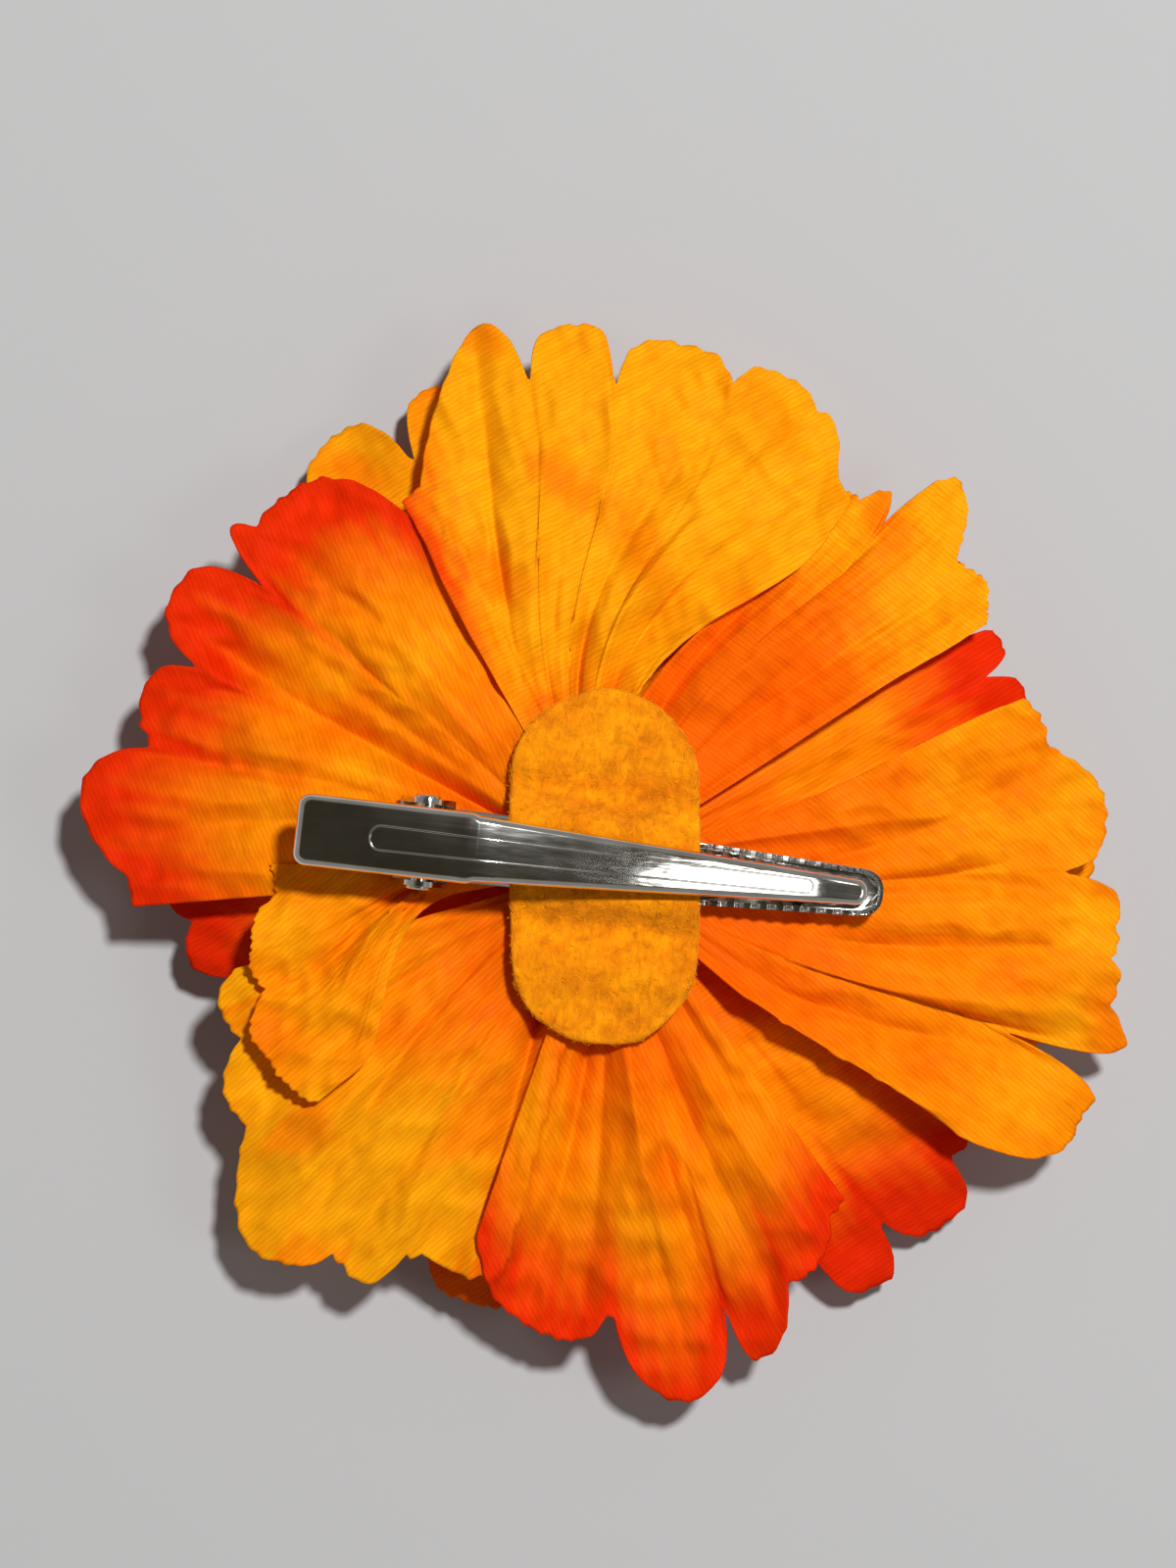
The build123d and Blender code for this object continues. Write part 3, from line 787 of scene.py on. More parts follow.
# %% The rear ring
REAR = dict(reach=55.0, drop=7.5, flat=10.0, least=35.0)
REAR_PETALS = [
    dict(name="rear_petal_3", azimuth=232, seed=33, half=30.0, height=-0.3, tilt=0.6, waves=2.0,
         ruffle=0.9, crumple=0.5, dip=(1.0, 19.0, -2.0), sides_up=(0.3, 1.2), weave=-10,
         yellow=0.95, rim_yellow=0.3, hub=0.85, hub_from=0.28, hub_to=0.68, red=0.0, flank=0.55,
         scallops=[(-23, 41, 7, 3, 3), (-12, 44.5, 7, 2.6, 2.6), (2.5, 52.0, 9.5, 5.0, 1.7),
                   (13.5, 48.0, 5, 3.2, 2.5), (23, 43.4, 7.5, 2.2, 2.6)],
         slits=[(9.6, 1.8, 0.9), (17.6, 2.2, 0.8)],
         folds=[(20, 27, 2.8, 3.6, 0.15, 0.85), (2, -9, -1.1, 4.5, 0.35, 0.95),
                (-8, 8, 1.3, 2.2, 0.25, 0.98), (12, 10, 1.1, 1.8, 0.6, 1.0),
                (-18, -12, 1.0, 3.0, 0.3, 0.95), (8, 16, -1.0, 2.6, 0.3, 0.9)]),
    dict(name="rear_petal_4", azimuth=285, seed=34, half=27.5, waves=2.5, ruffle=0.8,
         dip=(0.9, 19.5, 2.5), sides_up=(0.4, 0.2), weave=-87, yellow=0.12, hub=0.9, hub_to=0.72,
         red=0.85, red_from=0.6,
         scallops=[(-23, 41.5, 5, 3, 2.6), (-14.5, 47.6, 9.5, 4.4, 2.0), (0.5, 54.2, 7.6, 6.6, 2.2),
                   (9.0, 52.4, 5.5, 5, 2.0), (17.5, 46.0, 6.5, 3.6, 2.4), (24, 41.5, 6, 3, 2.4)],
         slits=[(-7.0, 2.4, 1.2), (6.8, 5.5, 0.6)],
         folds=[(-2, -7.4, 1.4, 1.8, 0.68, 1.0), (3, 6.6, 1.7, 1.8, 0.45, 1.0),
                (9, 14, 1.5, 2.6, 0.25, 0.95), (-14, -18, 1.1, 2.4, 0.3, 0.9),
                (-3, 1, -0.9, 3.0, 0.2, 0.7), (16, 21, -1.0, 2.2, 0.4, 0.95),
                (-8, -11, 0.9, 2.4, 0.3, 0.95), (-1, 2, 1.1, 1.6, 0.6, 1.0)]),
    dict(name="rear_petal_5", azimuth=359, seed=35, half=29.5, base_half=30.5, base_turn=-6.5,
         tilt=0.5, waves=2.0, ruffle=1.1, dip=(0.9, 20.0, -2.5), sides_up=(0.5, 1.8), weave=-107,
         yellow=-0.2, rim_yellow=0.6, hub=1.0, hub_to=0.8, red=0.04,
         scallops=[(-21.5, 54.6, 6.4, 5.0, 3), (-18, 55.4, 5, 5.5, 1.8),
                   (-11.5, 55.6, 5.0, 5.0, 1.6), (-5, 53.2, 7.0, 3.4, 2.4),
                   (1.8, 51.6, 6, 4.0, 2.8), (13.5, 50.6, 8.6, 3.6, 2.2), (24, 46.4, 8, 3.0, 2.2)],
         slits=[(-14.8, 9.0, 1.0), (-2.6, 1.2, 0.9), (6.8, 3.2, 0.9)],
         folds=[(-22, -14.8, 1.7, 2.6, 0.35, 0.95), (-6, -2, 1.8, 2.4, 0.4, 0.95),
                (2, 8, 1.3, 2.6, 0.25, 0.8), (-16, -10, -1.3, 2.8, 0.25, 0.8),
                (12, 20, 1.3, 2.6, 0.3, 0.9), (24, 16, -1.0, 2.4, 0.2, 0.75),
                (8, 3, 1.0, 2.2, 0.5, 1.0)]),
    dict(name="rear_petal_6", azimuth=54, seed=36, half=15.0, base_half=26.0, base_turn=12.0,
         height=0.6, tilt=-1.0, waves=1.5, ruffle=0.9, pleats=4, dip=(1.0, 18.0, 3.0),
         sides_up=(0.3, 0.2), weave=-112, yellow=0.0, rim_yellow=1.2, hub=1.1, hub_from=0.45,
         hub_to=0.95, red=0.0,
         scallops=[(-9.0, 47.6, 8.0, 4.5, 2.2), (-0.2, 53.0, 7.0, 7.0, 1.4),
                   (7.8, 44.6, 5.5, 3.2, 2.2)],
         slits=[(3.4, 7.0, 1.1)],
         folds=[(2, 4, 1.5, 2.0, 0.55, 1.0), (8, 10, 1.7, 2.4, 0.2, 0.8),
                (-6, -9, 1.2, 2.2, 0.3, 0.95), (1, -3, -1.1, 2.2, 0.3, 0.9),
                (-2, -1, 0.8, 1.8, 0.6, 1.0)]),
    dict(name="rear_petal_2", azimuth=156.5, seed=32, half=35.0, height=0.6, waves=2.2, ruffle=0.8,
         dip=(0.9, 17.5, -3.0), sides_up=(0.6, 0.0), weave=-82, yellow=0.15, hub=0.6, red=0.9,
         red_from=0.56, deep=0.12,
         scallops=[(-18, 49.4, 10, 5.2, 2.4), (-12, 50.8, 4, 5.0, 1.5), (-3.3, 51.8, 7.0, 4.4, 2.2),
                   (9.5, 49.6, 7.0, 4.0, 2.2), (22.5, 52.6, 8.4, 4.4, 2.0),
                   (32.5, 47.4, 6, 3.2, 2.0)],
         slits=[(-9.3, 4.2, 1.3), (4.1, 1.6, 1.1), (15.5, 2.6, 1.0)],
         folds=[(5, 0.5, 3.6, 4.6, 0.12, 0.88), (-10.5, -9.5, 1.5, 2.4, 0.6, 1.0),
                (12.5, 16.5, 1.4, 2.2, 0.45, 1.0), (-14.5, -20.5, -1.0, 3.4, 0.3, 0.9),
                (19.5, 27.5, 1.2, 2.8, 0.4, 0.98), (-4.5, -6.5, 1.0, 2.6, 0.3, 0.8),
                (-18.5, -13.5, 1.1, 2.6, 0.55, 1.0), (7.5, 9.5, -1.0, 3.0, 0.3, 0.9)]),
    dict(name="rear_petal_1", azimuth=94, seed=31, half=31.5, base_half=17.0, base_turn=17.0,
         height=0.5, waves=2.5, ruffle=0.8, dip=(1.6, 23.0, 3.0), sides_up=(1.5, 0.6), weave=3,
         yellow=0.9, rim_yellow=0.3, hub=0.85, hub_from=0.15, hub_to=0.42, red=0.0, flank=0.75,
         scallops=[(29, 42.0, 7, 2.5, 2.0), (15.5, 55.6, 10, 9.5, 1.35), (6.3, 54.4, 6.5, 3.6, 3.0),
                   (-5.8, 53.4, 8.0, 4.0, 2.6), (-18, 52.8, 7.8, 3.4, 2.8), (-27.5, 45, 6, 3, 2.0)],
         slits=[(11.4, 4.0, 1.0), (1.2, 4.8, 0.8), (-12.4, 1.5, 0.9), (-22.5, 1.2, 1.2)],
         folds=[(19, 16.8, 1.4, 1.7, 0.45, 1.0), (14, 8, -1.1, 3.0, 0.3, 0.85),
                (-4, -12, 1.6, 2.6, 0.25, 0.95), (-14, -19, -1.1, 2.6, 0.3, 0.95),
                (-12, -23, 1.3, 2.4, 0.45, 1.0), (6, 1, 0.9, 3.2, 0.35, 0.75),
                (-22, -28, 1.5, 3.0, 0.2, 0.9), (-2, 3, -0.7, 2.6, 0.65, 1.0)]),
    dict(name="tongue_petal", azimuth=206, seed=37, half=20.0, base_half=5.5, base_turn=-15.0,
         opens=(0.36, 0.8), height=2.8, reach=40.0, drop=3.4, least=31.0, waves=1.2, ruffle=0.35,
         pleats=4, gather=1.0, sides_up=(1.2, 0.2), side_roll=1.2, edge_lift=0.8, weave=-8,
         yellow=0.3, hub=0.7, red=0.0,
         scallops=[(-18, 33.2, 9, 2.2, 2.6), (-4, 36.0, 9, 2, 2.6), (9.5, 38.8, 8, 2.2, 2.6),
                   (16.5, 38.2, 5, 2.4, 2.6)],
         folds=[(-4, 2, 1.3, 3.0, 0.3, 0.98), (4, 12, -1.0, 3.0, 0.3, 0.95)]),
]
print("rear ring, from the lowest:", [spec["name"] for spec in REAR_PETALS])

# %% [markdown]
# A petal is finished in one step: shape, lay, dye and close it, join it to the flower, and hide the
# measured petal it stands for. Its flat size as cut, its fan's width and length, is also worked out
# from its area, but it isn't kept.

# %% Making the petals
COARSE, MEDIUM, FINE = (64, 52), (96, 80), (200, 104)
FAN_SPARE = 6.0
REAR_LIFT = 0.6


def make_petal(spec, across, outwards):
    """Shapes, lays, dyes and closes one petal, on a grid of that many points."""
    spec = {**PLAIN, **spec}
    grid = lay(petal_grid(spec, across, outwards))
    piece, area = sheet_mesh(spec["name"] + "_cloth", grid, dyed(grid, spec), petal_material,
                             spec["weave"])
    furthest = float(grid["distance"].max())
    longest = furthest - spec["start"]
    widest = 2 * furthest * math.sin(math.radians(spec["half"])) + FAN_SPARE
    share = area / (longest * widest * MM * MM)
    if share > 1:
        widest *= share * 1.02
    widest * MM
    longest * MM
    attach(piece, "flower")
    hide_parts(spec["name"])


def ring_of_five(base, kind, turn, seed):
    for i in range(5):
        spec = dict(base, name=f"{kind}_petal_{i + 1}", azimuth=turn + 72 * i, seed=seed + i,
                    height=ring_height[kind])
        make_petal(spec, *COARSE)


ring_of_five(INNER, "inner", 56, 60)
ring_of_five(FRONT, "front", 20, 50)
for spec in MIDDLE_PETALS:
    make_petal({**MIDDLE, "height": ring_height["middle"], **spec}, *MEDIUM)
for spec in REAR_PETALS:
    rise = spec.get("height", 0.0)
    make_petal({**REAR, **spec, "height": ring_height["rear"] + REAR_LIFT + rise}, *FINE)
print("petals made; the heap's top is", round(float(heap.max()), 1), "mm")

# %% [markdown]
# The felt pad is an oval of thick craft felt, glued over the lower jaw. It is level over the jaw's
# edges, falls off both sides of it into a shallow valley, and lies along the petals to its rounded
# ends. Felt has no weave: its colour is mottled and its surface is matted fibre. Three noises make
# that: slow blotches for the dye, and two finer ones for the fibres, which also raise its nap.

# %% The felt's finish


def felt_material():
    felt = Finish("ochre_felt", roughness=0.95, specular=0.1, sheen_weight=0.35,
                  sheen_roughness=0.5, sheen_tint=(1.0, 0.6, 0.05, 1))
    place = felt.node("TexCoord", 3)
    blotch = felt.node("TexNoise", Vector=place, Scale=260.0, Detail=3.0, Roughness=0.6)
    fibre_map = felt.node("Mapping", Vector=place, Scale=(1.0, 0.42, 1.0))
    fibre = felt.node("TexNoise", Vector=fibre_map, Scale=1500.0, Detail=4.0, Roughness=0.7,
                      Distortion=0.8)
    mat = felt.node("TexNoise", Vector=place, Scale=620.0, Detail=3.0, Roughness=0.65)
    ground = felt.node("ValToRGB", settings={"stops": [(0.36, (0.76, 0.200, 0.001)),
                                                       (0.66, (1.0, 0.335, 0.001))]}, Fac=blotch)
    speck = felt.node("ValToRGB", settings={"stops": [(0.35, (0.60, 0.56, 0.50)),
                                                      (0.68, (1.16, 1.16, 1.10))]},
                      Fac=fibre * 0.55 + mat * 0.45)
    felt.drive("Base Color", felt.tint(1.0, ground, speck, "MULTIPLY"))
    felt.bump(fibre * 0.5 + mat * 0.5, depth=0.0004, strength=0.9)
    return felt.material


felt_finish = felt_material()
print("felt finish made")

# %% [markdown]
# The pad could be a flat oval that a Cloth simulation lets fall over the jaw. Thick glued felt
# hardly drapes, though, so its height is written as a profile across the jaw. Rings of points run
# out over its top, round its soft edge and back in underneath, which leaves it closed.

# %% The felt pad
FELT_TURN = math.radians(90 + CLIP_SLOPE)
felt_length = 34.7
felt_width = 18.5
felt_thick = 1.0
JAW_RIM = 1.5


def hill(distance, centre, width):
    """A rounded rise to 1 at the centre."""
    return np.exp(-((distance - centre) / width) ** 2)


def felt_height(x, y):
    """The pad's upper face: over the jaw's edges, then down to the petals."""
    aside = np.abs(y - clip_side)
    over_jaw = jaw_base + JAW_RIM + felt_thick
    rest = cap_top + felt_thick - 0.1 - 0.35 * smooth(8, 17, aside)
    slope = smooth(3.3, 6.9, aside)
    ridge = 0.18 * hill(aside, 3.0, 0.9)
    valley = 0.50 * hill(aside, 6.4, 1.5) - 0.75 * hill(aside, 10.2, 2.3)
    field = Ripple(7)
    lumps = 0.10 * field.at(x, y, 9.0) + 0.05 * field.at(y, x, 3.0)
    return over_jaw + (rest - over_jaw) * slope + ridge - valley + lumps * smooth(3.0, 6.0, aside)


def felt_rings(around, rings, rim_steps):
    """Rings of points: out over the pad's top, round its edge, and back in underneath."""
    turn = np.linspace(0, 2 * math.pi, around, endpoint=False)
    straight = (felt_length - felt_width) / 2
    wobble = 1 + 0.006 * np.cos(5 * turn + 1) + 0.004 * np.cos(9 * turn)
    oval_x = (np.cos(turn) * felt_width / 2 + straight * np.tanh(9 * np.cos(turn))) * wobble
    oval_y = np.sin(turn) * felt_width / 2 * wobble
    length = np.hypot(oval_x, oval_y)
    inset = felt_thick / 2
    shares = np.linspace(0, 1, rings)[1:]
    edge = [math.pi * step / rim_steps for step in range(1, rim_steps)]
    walk = [(share, 1.0, 0.0) for share in shares]
    walk += [(1.0, math.cos(bend), math.sin(bend)) for bend in edge]
    walk += [(share, -1.0, 0.0) for share in shares[::-1]]
    points = []
    for share, rise, out in walk:
        scale = (share * (length - inset) + out * inset) / length
        px, py = oval_x * scale, oval_y * scale
        x = px * math.cos(FELT_TURN) - py * math.sin(FELT_TURN)
        y = px * math.sin(FELT_TURN) + py * math.cos(FELT_TURN)
        points.extend(zip(x, y, felt_height(x, y) - inset + rise * inset))
    return points


def felt_piece():
    """An oval sheet in rings from its middle to its rim, with a round edge."""
    around = 180
    points = felt_rings(around, rings=34, rim_steps=7)
    last = len(points) - around
    after = [(j + 1) % around for j in range(around)]
    faces = []
    for here in range(0, last, around):
        for j, k in enumerate(after):
            faces.append((here + j, here + k, here + around + k, here + around + j))
    middle = felt_height(np.array([0.0]), np.array([0.0]))[0]
    top, bottom = len(points), len(points) + 1
    points += [(0, 0, middle), (0, 0, middle - felt_thick)]
    for j, k in enumerate(after):
        faces.append((top, k, j))
        faces.append((bottom, last + j, last + k))
    mesh = bpy.data.meshes.new("felt_pad_cloth")
    mesh.from_pydata([tuple(c * MM for c in p) for p in points], [], faces)
    face_outwards(mesh)
    return as_piece("felt_pad_cloth", mesh, felt_finish)


felt = felt_piece()
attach(felt, "flower")
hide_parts("felt_pad")

# %% [markdown]
# The jaws are nickel plated. Nickel is a slightly warm grey mirror, and tumbling leaves it a little
# wavy and rubbed, which shows as soft ripples in its reflections. The pressed blade is also crowned
# by a hair's breadth. That is far too little to model, but a mirror shows it, so the bump adds it.

# %% Nickel
BLADE_MIDDLE = 1.0
BLADE_WIDTH = 3.3
BLADE_REACH = 16.0


def nickel():
    metal = Finish("nickel_plate", metallic=1.0)
    place = metal.node("TexCoord", 3)
    x = metal.node("SeparateXYZ", Vector=place)
    y = metal.node("SeparateXYZ", 1, Vector=place)
    cloud = metal.node("TexNoise", Vector=place, Scale=230.0, Detail=2.0)
    long_map = metal.node("Mapping", Vector=place, Scale=(0.06, 1.0, 1.0))
    rub = metal.node("TexNoise", Vector=long_map, Scale=1500.0, Detail=2.0)
    tone = metal.node("ValToRGB", settings={"stops": [(0.32, (0.66, 0.645, 0.60)),
                                                      (0.68, (0.82, 0.81, 0.77))]}, Fac=cloud)
    metal.drive("Base Color", tone)
    metal.drive("Roughness", 0.05 + cloud * 0.05 + rub * 0.06)
    across = (y - clip_side * MM) / (BLADE_WIDTH * MM)
    along = (x - BLADE_MIDDLE * MM) / (BLADE_REACH * MM)
    crown = across * across * -0.14 + along * along * -0.55
    metal.bump(crown + cloud * 0.026 + rub * 0.020, depth=0.001, strength=1.0)
    return metal.material


nickel_material = nickel()
print("nickel made")

# %% [markdown]
# The jaws are stamped from sheet steel, and their shape is exactly the measured one, so nothing is
# modelled again: each is a merged copy of the measured mesh. Its bends are shaded smooth and its
# edges sharp, and weighted normals keep the flats flat.

# %% The stamped pieces
SHARP_BEND = 32.0


def measured_copy(node, name, material):
    """A merged copy of a measured node, smooth over its bends and flat on its flats."""
    mesh = frame["nodes"][node].data.copy()
    mesh.name = name
    work = bmesh.new()
    work.from_mesh(mesh)
    bmesh.ops.remove_doubles(work, verts=work.verts, dist=1e-6)
    work.to_mesh(mesh)
    work.free()
    piece = as_piece(name, mesh, material)
    mesh.set_sharp_from_angle(angle=math.radians(SHARP_BEND))
    weigh = piece.modifiers.new("weighted", "WEIGHTED_NORMAL")
    weigh.keep_sharp = True
    weigh.weight = 100
    return piece


for node, body in (("upper_jaw", "jaw"), ("lower_jaw", "flower"), ("hinge_pin", "flower")):
    piece = measured_copy(node, node + "_plated", nickel_material)
    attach(piece, body)
    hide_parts(node)
    print(node, len(piece.data.polygons), "faces")

# %% [markdown]
# The upper jaw has a shallow pressed bead down its back. Its shoulder is rolled, not cut, so a
# fine round line of metal follows its outline and carries a highlight. The line is a half-round
# strip laid on the jaw: each point of the outline is dropped on to the jaw's top by a ray.

# %% The bead's rolled shoulder
BACK_INSET = 3.9
FRONT_INSET = 6.0
BACK_RADIUS = 1.05
FRONT_RADIUS = 0.60
SPREAD = 1.12
SIDE_STEPS = 60
ARC_STEPS = 26


def bead_outline():
    """The outline of two circles and the lines that join them, wide at the tail."""
    back_x, front_x = hinge.x - BACK_INSET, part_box("upper_jaw")[1].x / MM - FRONT_INSET
    run, taper = front_x - back_x, FRONT_RADIUS - BACK_RADIUS
    lean = math.asin(-taper / run)
    points = []
    for i in range(ARC_STEPS + 1):
        turn = math.pi / 2 - lean + (math.pi + 2 * lean) * i / ARC_STEPS
        points.append((back_x + BACK_RADIUS * math.cos(turn), BACK_RADIUS * math.sin(turn)))
    left_x = points[-1][0]
    for i in range(1, SIDE_STEPS):
        points.append((left_x + run * i / SIDE_STEPS, -(BACK_RADIUS + taper * i / SIDE_STEPS)))
    for i in range(ARC_STEPS + 1):
        turn = -math.pi / 2 - lean + (math.pi + 2 * lean) * i / ARC_STEPS
        points.append((front_x + FRONT_RADIUS * math.cos(turn), FRONT_RADIUS * math.sin(turn)))
    for i in range(1, SIDE_STEPS):
        points.append((front_x - run * i / SIDE_STEPS, FRONT_RADIUS - taper * i / SIDE_STEPS))
    return points


def bead_line(jaw, half_width=0.11, height=0.07, sunk=0.01, steps=6):
    """A half-round strip along the outline, as its own piece."""
    spine = []
    for x, y in bead_outline():
        above = Vector((x * MM, (y * SPREAD + clip_side) * MM, 0.05))
        place = jaw.ray_cast(above, Vector((0, 0, -1)))[1]
        spine.append(place / MM)
    work = bmesh.new()
    rows = []
    for i, point in enumerate(spine):
        along = (spine[(i + 1) % len(spine)] - spine[i - 1]).normalized()
        aside = along.cross(Vector((0, 0, 1))).normalized()
        row = []
        for j in range(steps + 1):
            turn = math.pi * j / steps
            up = Vector((0, 0, height * math.sin(turn) - sunk))
            row.append(work.verts.new((point + (aside * half_width * math.cos(turn) + up)) * MM))
        rows.append(row)
    for i, row in enumerate(rows):
        after = rows[(i + 1) % len(rows)]
        for j in range(steps):
            work.faces.new((row[j], row[j + 1], after[j + 1], after[j]))
        work.faces.new((row[steps], row[0], after[0], after[steps]))
    bmesh.ops.recalc_face_normals(work, faces=work.faces)
    mesh = bpy.data.meshes.new("bead_line")
    work.to_mesh(mesh)
    work.free()
    return as_piece("bead_line", mesh, nickel_material)


bead = bead_line(bpy.data.objects["upper_jaw_plated"])
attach(bead, "jaw")
print("bead line", len(bead.data.polygons), "faces")

# %% [markdown]
# The torsion spring is one wire: an arm on the lower jaw's floor, four and a half turns round the
# pin, and an arm under the thumb plate. A curve with a round bevel makes such a wire from a list of
# points. It crosses the joint.

# %% Spring
WIRE = 0.7
COIL = 1.5
COIL_TURNS = 4.5
COIL_PITCH = 0.8
ARM = 8.2
STEPS_A_TURN = 28


def plain_mesh(holder):
    """An object with its modifiers or its bevel made real, as a mesh. The object is removed."""
    graph = bpy.context.evaluated_depsgraph_get()
    mesh = bpy.data.meshes.new_from_object(holder.evaluated_get(graph))
    bpy.data.objects.remove(holder)
    return mesh


def wire_piece(name, points, radius, material):
    """A round wire through points, as a mesh."""
    curve = bpy.data.curves.new(name, "CURVE")
    curve.dimensions = "3D"
    curve.bevel_depth = radius * MM
    curve.bevel_resolution = 4
    curve.use_fill_caps = True
    line = curve.splines.new("POLY")
    line.points.add(len(points) - 1)
    for knot, point in zip(line.points, points):
        knot.co = (*(c * MM for c in point), 1)
    return as_piece(name, plain_mesh(add_object(name, curve)), material)


def spring_path():
    """The wire's middle line: an arm, the coil round the pin, and the other arm."""
    length = COIL_TURNS * COIL_PITCH
    first_y = clip_side - length / 2
    points = [(hinge.x - ARM, first_y, bottom_of("spring") + WIRE / 2)]
    steps = int(COIL_TURNS * STEPS_A_TURN)
    for i in range(steps + 1):
        turn = 2 * math.pi * COIL_TURNS * i / steps
        points.append((hinge.x - COIL * math.sin(turn), first_y + length * i / steps,
                       hinge.z - COIL * math.cos(turn)))
    points.append((hinge.x - ARM, clip_side + length / 2, top_of("spring") - WIRE / 2))
    return points


steel = Finish("spring_steel", metallic=1.0, roughness=0.32, base_color=(0.42, 0.41, 0.40, 1))
spring = wire_piece("spring_wire", spring_path(), WIRE / 2, steel.material)
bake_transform(spring)
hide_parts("spring")
print("spring", len(spring.data.vertices), "vertices")

# %% [markdown]
# The hub's plastic and the glue are all but hidden. The plastic is a waxy pale green, as flower
# stems are, with a little light under its surface. The glue is glossy and half clear, so a lowered
# alpha is enough. Real refraction would cost time and would hardly be seen.

# %% Hub and glue
plastic = Finish("hub_plastic", roughness=0.42, base_color=(0.42, 0.50, 0.16, 1),
                 subsurface_weight=0.1)
glue = Finish("hot_glue", roughness=0.18, base_color=(0.78, 0.62, 0.40, 1), alpha=0.75)
for node in ("rear_cap", "centre_peg", "rear_spacer", "middle_spacer", "front_spacer"):
    piece = measured_copy(node, node + "_moulded", plastic.material)
    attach(piece, "flower")
    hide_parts(node)
piece = measured_copy("glue_bed", "glue_bead", glue.material)
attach(piece, "flower")
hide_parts("glue_bed")
print("hub and glue made")

# %% [markdown]
# Two things repeat: the stamens on the flower's face and the loose fibres on the felt. Geometry
# Nodes makes both. `Network` builds a node tree with named inputs, and `grow` runs it on a mesh and
# keeps the result as a plain mesh, with no modifier left on it. A modifier knows an input by its
# identifier and not by its name, so the network keeps a list of them.

# %% Geometry node helpers


class Network:
    """A geometry node tree with named inputs, each (socket type, first value)."""

    def __init__(self, name, **inputs):
        self.tree = bpy.data.node_groups.new(name, "GeometryNodeTree")
        face = self.tree.interface
        face.new_socket("Geometry", in_out="INPUT", socket_type="NodeSocketGeometry")
        self.keys = {}
        for key, (kind, value) in inputs.items():
            socket = face.new_socket(key, in_out="INPUT", socket_type="NodeSocket" + kind)
            socket.default_value = value
            self.keys[key] = socket.identifier
        face.new_socket("Geometry", in_out="OUTPUT", socket_type="NodeSocketGeometry")
        self.start = self.tree.nodes.new("NodeGroupInput")
        self.end = self.tree.nodes.new("NodeGroupOutput")

    def given(self, key):
        return self.start.outputs[key]

    def node(self, kind, output=0, settings=None, **values):
        """Adds a node. Values go to its sockets by name, or by place as _0, _1 and so on."""
        node = self.tree.nodes.new(kind)
        for key, value in (settings or {}).items():
            setattr(node, key, value)
        for key, value in values.items():
            socket = node.inputs[int(key[1:]) if key[0] == "_" else key.replace("_", " ")]
            if isinstance(value, bpy.types.NodeSocket):
                self.tree.links.new(value, socket)
            else:
                socket.default_value = value
        return node.outputs[output]

    def finish(self, geometry, material):
        real = self.node("GeometryNodeRealizeInstances", Geometry=geometry)
        made = self.node("GeometryNodeSetMaterial", Geometry=real, Material=material)
        self.tree.links.new(made, self.end.inputs[0])


def grow(network, base, name, **values):
    """Runs the network on a base mesh and returns the result as a new piece."""
    holder = add_object(name + "_base", base)
    modifier = holder.modifiers.new("grow", "NODES")
    modifier.node_group = network.tree
    for key, value in values.items():
        modifier[network.keys[key]] = value
    return add_object(name, plain_mesh(holder))


print("node network helpers ready")

# %% [markdown]
# Stamens are stalks with a rounded tip that stand in a ring on the peg, on the flower's face. One
# stalk and tip are made once, pointing down, and instanced on the points of a circle.

# %% Stamens
STALK_ROOT = 0.003


def stamen_network(material):
    net = Network("stamens", Count=("Int", 9), Circle=("Float", 0.0019), Length=("Float", 0.002),
                  Stalk=("Float", 0.0004), Tip=("Float", 0.00068))
    ring = net.node("GeometryNodeMeshCircle", Vertices=net.given("Count"),
                    Radius=net.given("Circle"))
    stalk = net.node("GeometryNodeMeshCylinder", Vertices=10, Radius=net.given("Stalk"),
                     Depth=net.given("Length"))
    tip = net.node("GeometryNodeMeshUVSphere", Segments=14, Rings=9, Radius=net.given("Tip"))
    join = net.tree.nodes.new("GeometryNodeJoinGeometry")
    for part, share, squash in ((stalk, -0.5, 1.0), (tip, -0.95, 0.9)):
        drop = net.node("ShaderNodeMath", settings={"operation": "MULTIPLY"},
                        _0=net.given("Length"), _1=share)
        down = net.node("ShaderNodeCombineXYZ", Z=drop)
        part = net.node("GeometryNodeTransform", Geometry=part, Translation=down,
                        Scale=(1.0, 1.0, squash))
        net.tree.links.new(part, join.inputs[0])
    placed = net.node("GeometryNodeInstanceOnPoints", Points=ring, Instance=join.outputs[0])
    rooted = net.node("GeometryNodeTransform", Geometry=placed, Translation=(0, 0, STALK_ROOT))
    net.finish(rooted, material)
    return net


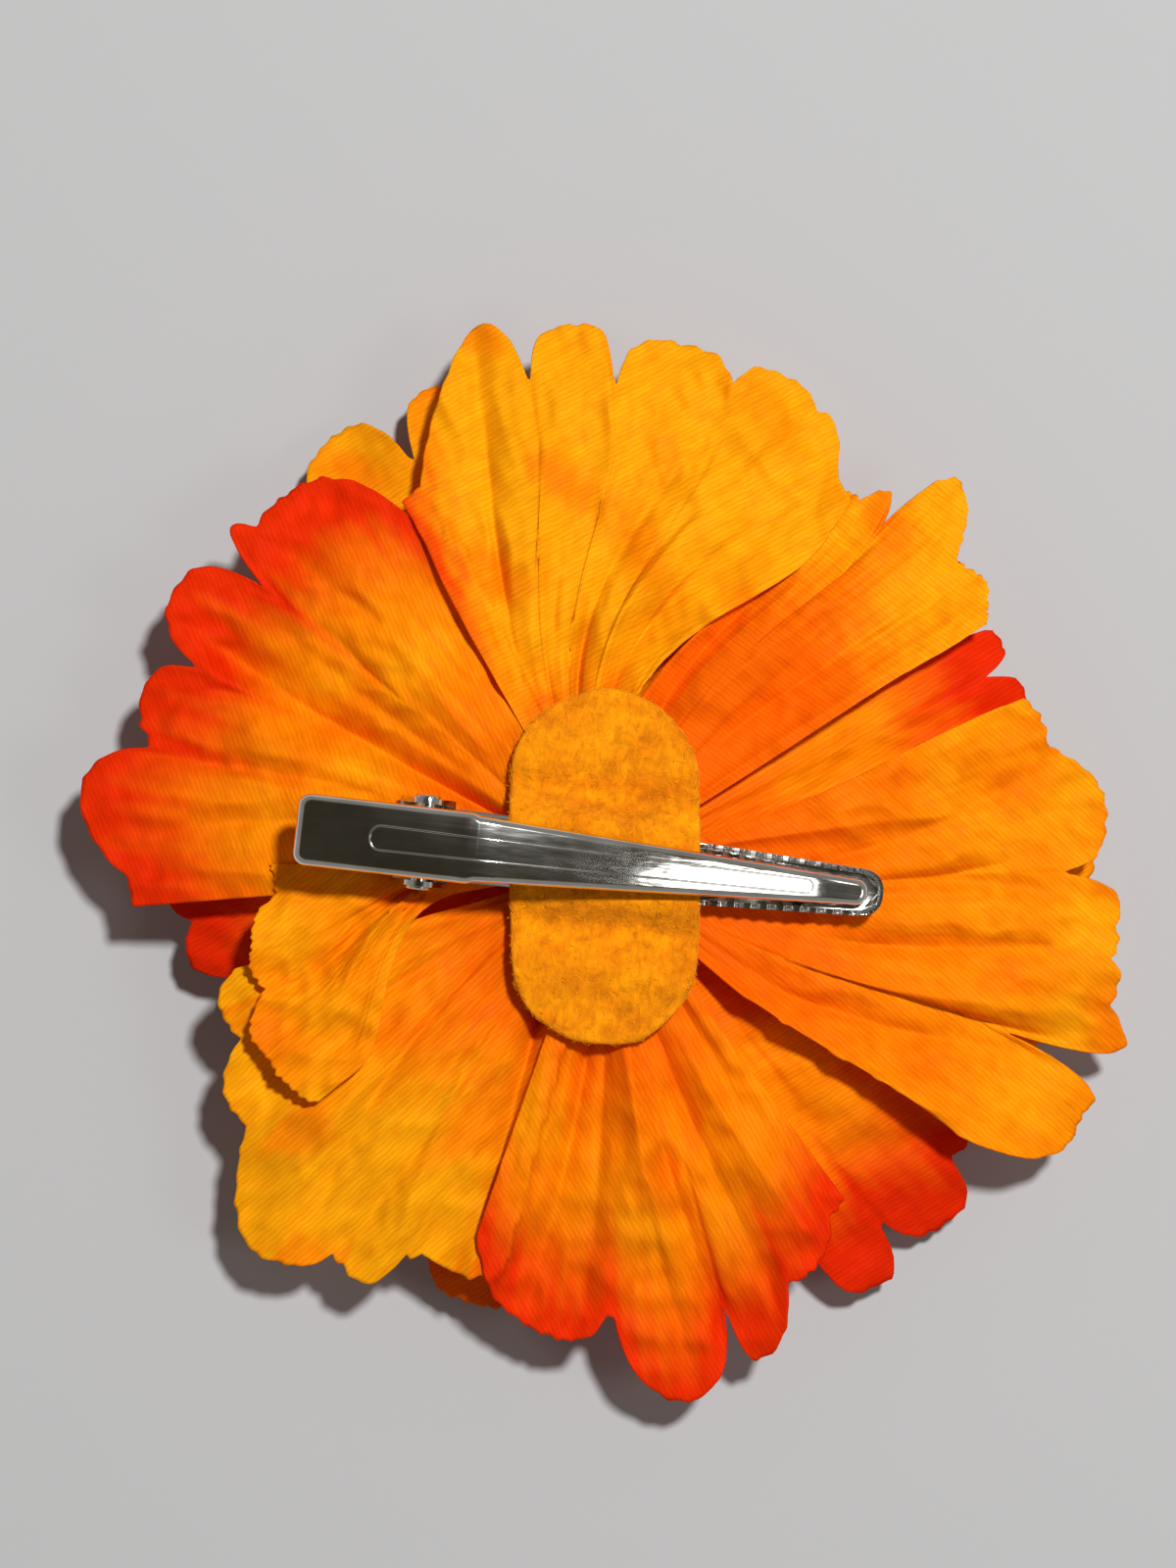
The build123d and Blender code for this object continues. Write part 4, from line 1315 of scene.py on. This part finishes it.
pollen = Finish("pollen_yellow", roughness=0.7, base_color=(0.80, 0.42, 0.02, 1))
stamens = grow(stamen_network(pollen.material), bpy.data.meshes.new("stamen_base"),
               "stamens_cluster", Count=9, Length=0.0020)
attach(stamens, "flower")
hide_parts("stamens")
print("stamens", len(stamens.data.polygons), "faces")

# %% [markdown]
# Felt sheds fine hairs. Points are scattered over the pad with a fixed seed, and each gets a short
# bowed hair that lies nearly flat, turned and sized at random, also with fixed seeds.

# %% Loose felt fibres
HAIR_LIFT = 0.28  # radians


def fibre_network(material):
    net = Network("felt_fibres", Density=("Float", 3.0e6), Length=("Float", 0.0013),
                  Thickness=("Float", 0.00003))
    points = net.tree.nodes.new("GeometryNodeDistributePointsOnFaces")
    net.tree.links.new(net.given("Geometry"), points.inputs["Mesh"])
    net.tree.links.new(net.given("Density"), points.inputs["Density"])
    points.inputs["Seed"].default_value = 5
    arc = net.node("GeometryNodeCurveArc", settings={"mode": "RADIUS"}, Resolution=6,
                   Radius=net.given("Length"), Start_Angle=-0.5, Sweep_Angle=1.0)
    laid = net.node("GeometryNodeTransform", Geometry=arc, Translation=(-0.0011, 0, 0))
    profile = net.node("GeometryNodeCurvePrimitiveCircle", settings={"mode": "RADIUS"},
                       Resolution=3, Radius=net.given("Thickness"))
    fibre = net.node("GeometryNodeCurveToMesh", Curve=laid, Profile_Curve=profile)
    spin = net.node("FunctionNodeRandomValue", settings={"data_type": "FLOAT_VECTOR"},
                    _0=(-HAIR_LIFT, -HAIR_LIFT, 0.0), _1=(HAIR_LIFT, HAIR_LIFT, 6.283), Seed=3)
    turned = net.node("FunctionNodeRotateRotation", settings={"rotation_space": "LOCAL"},
                      _0=points.outputs["Rotation"], _1=spin)
    size = net.node("FunctionNodeRandomValue", 1, _2=0.4, _3=1.1, Seed=8)
    placed = net.node("GeometryNodeInstanceOnPoints", Points=points.outputs["Points"],
                      Instance=fibre, Rotation=turned, Scale=size)
    net.finish(placed, material)
    return net


fibre_paint = Finish("felt_fibre", roughness=0.9, specular=0.1, base_color=(0.86, 0.36, 0.004, 1))
fibres = grow(fibre_network(fibre_paint.material), felt.data, "felt_fibres", Density=3.0e6)
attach(fibres, "flower")
print("felt fibres", len(fibres.data.polygons), "faces")
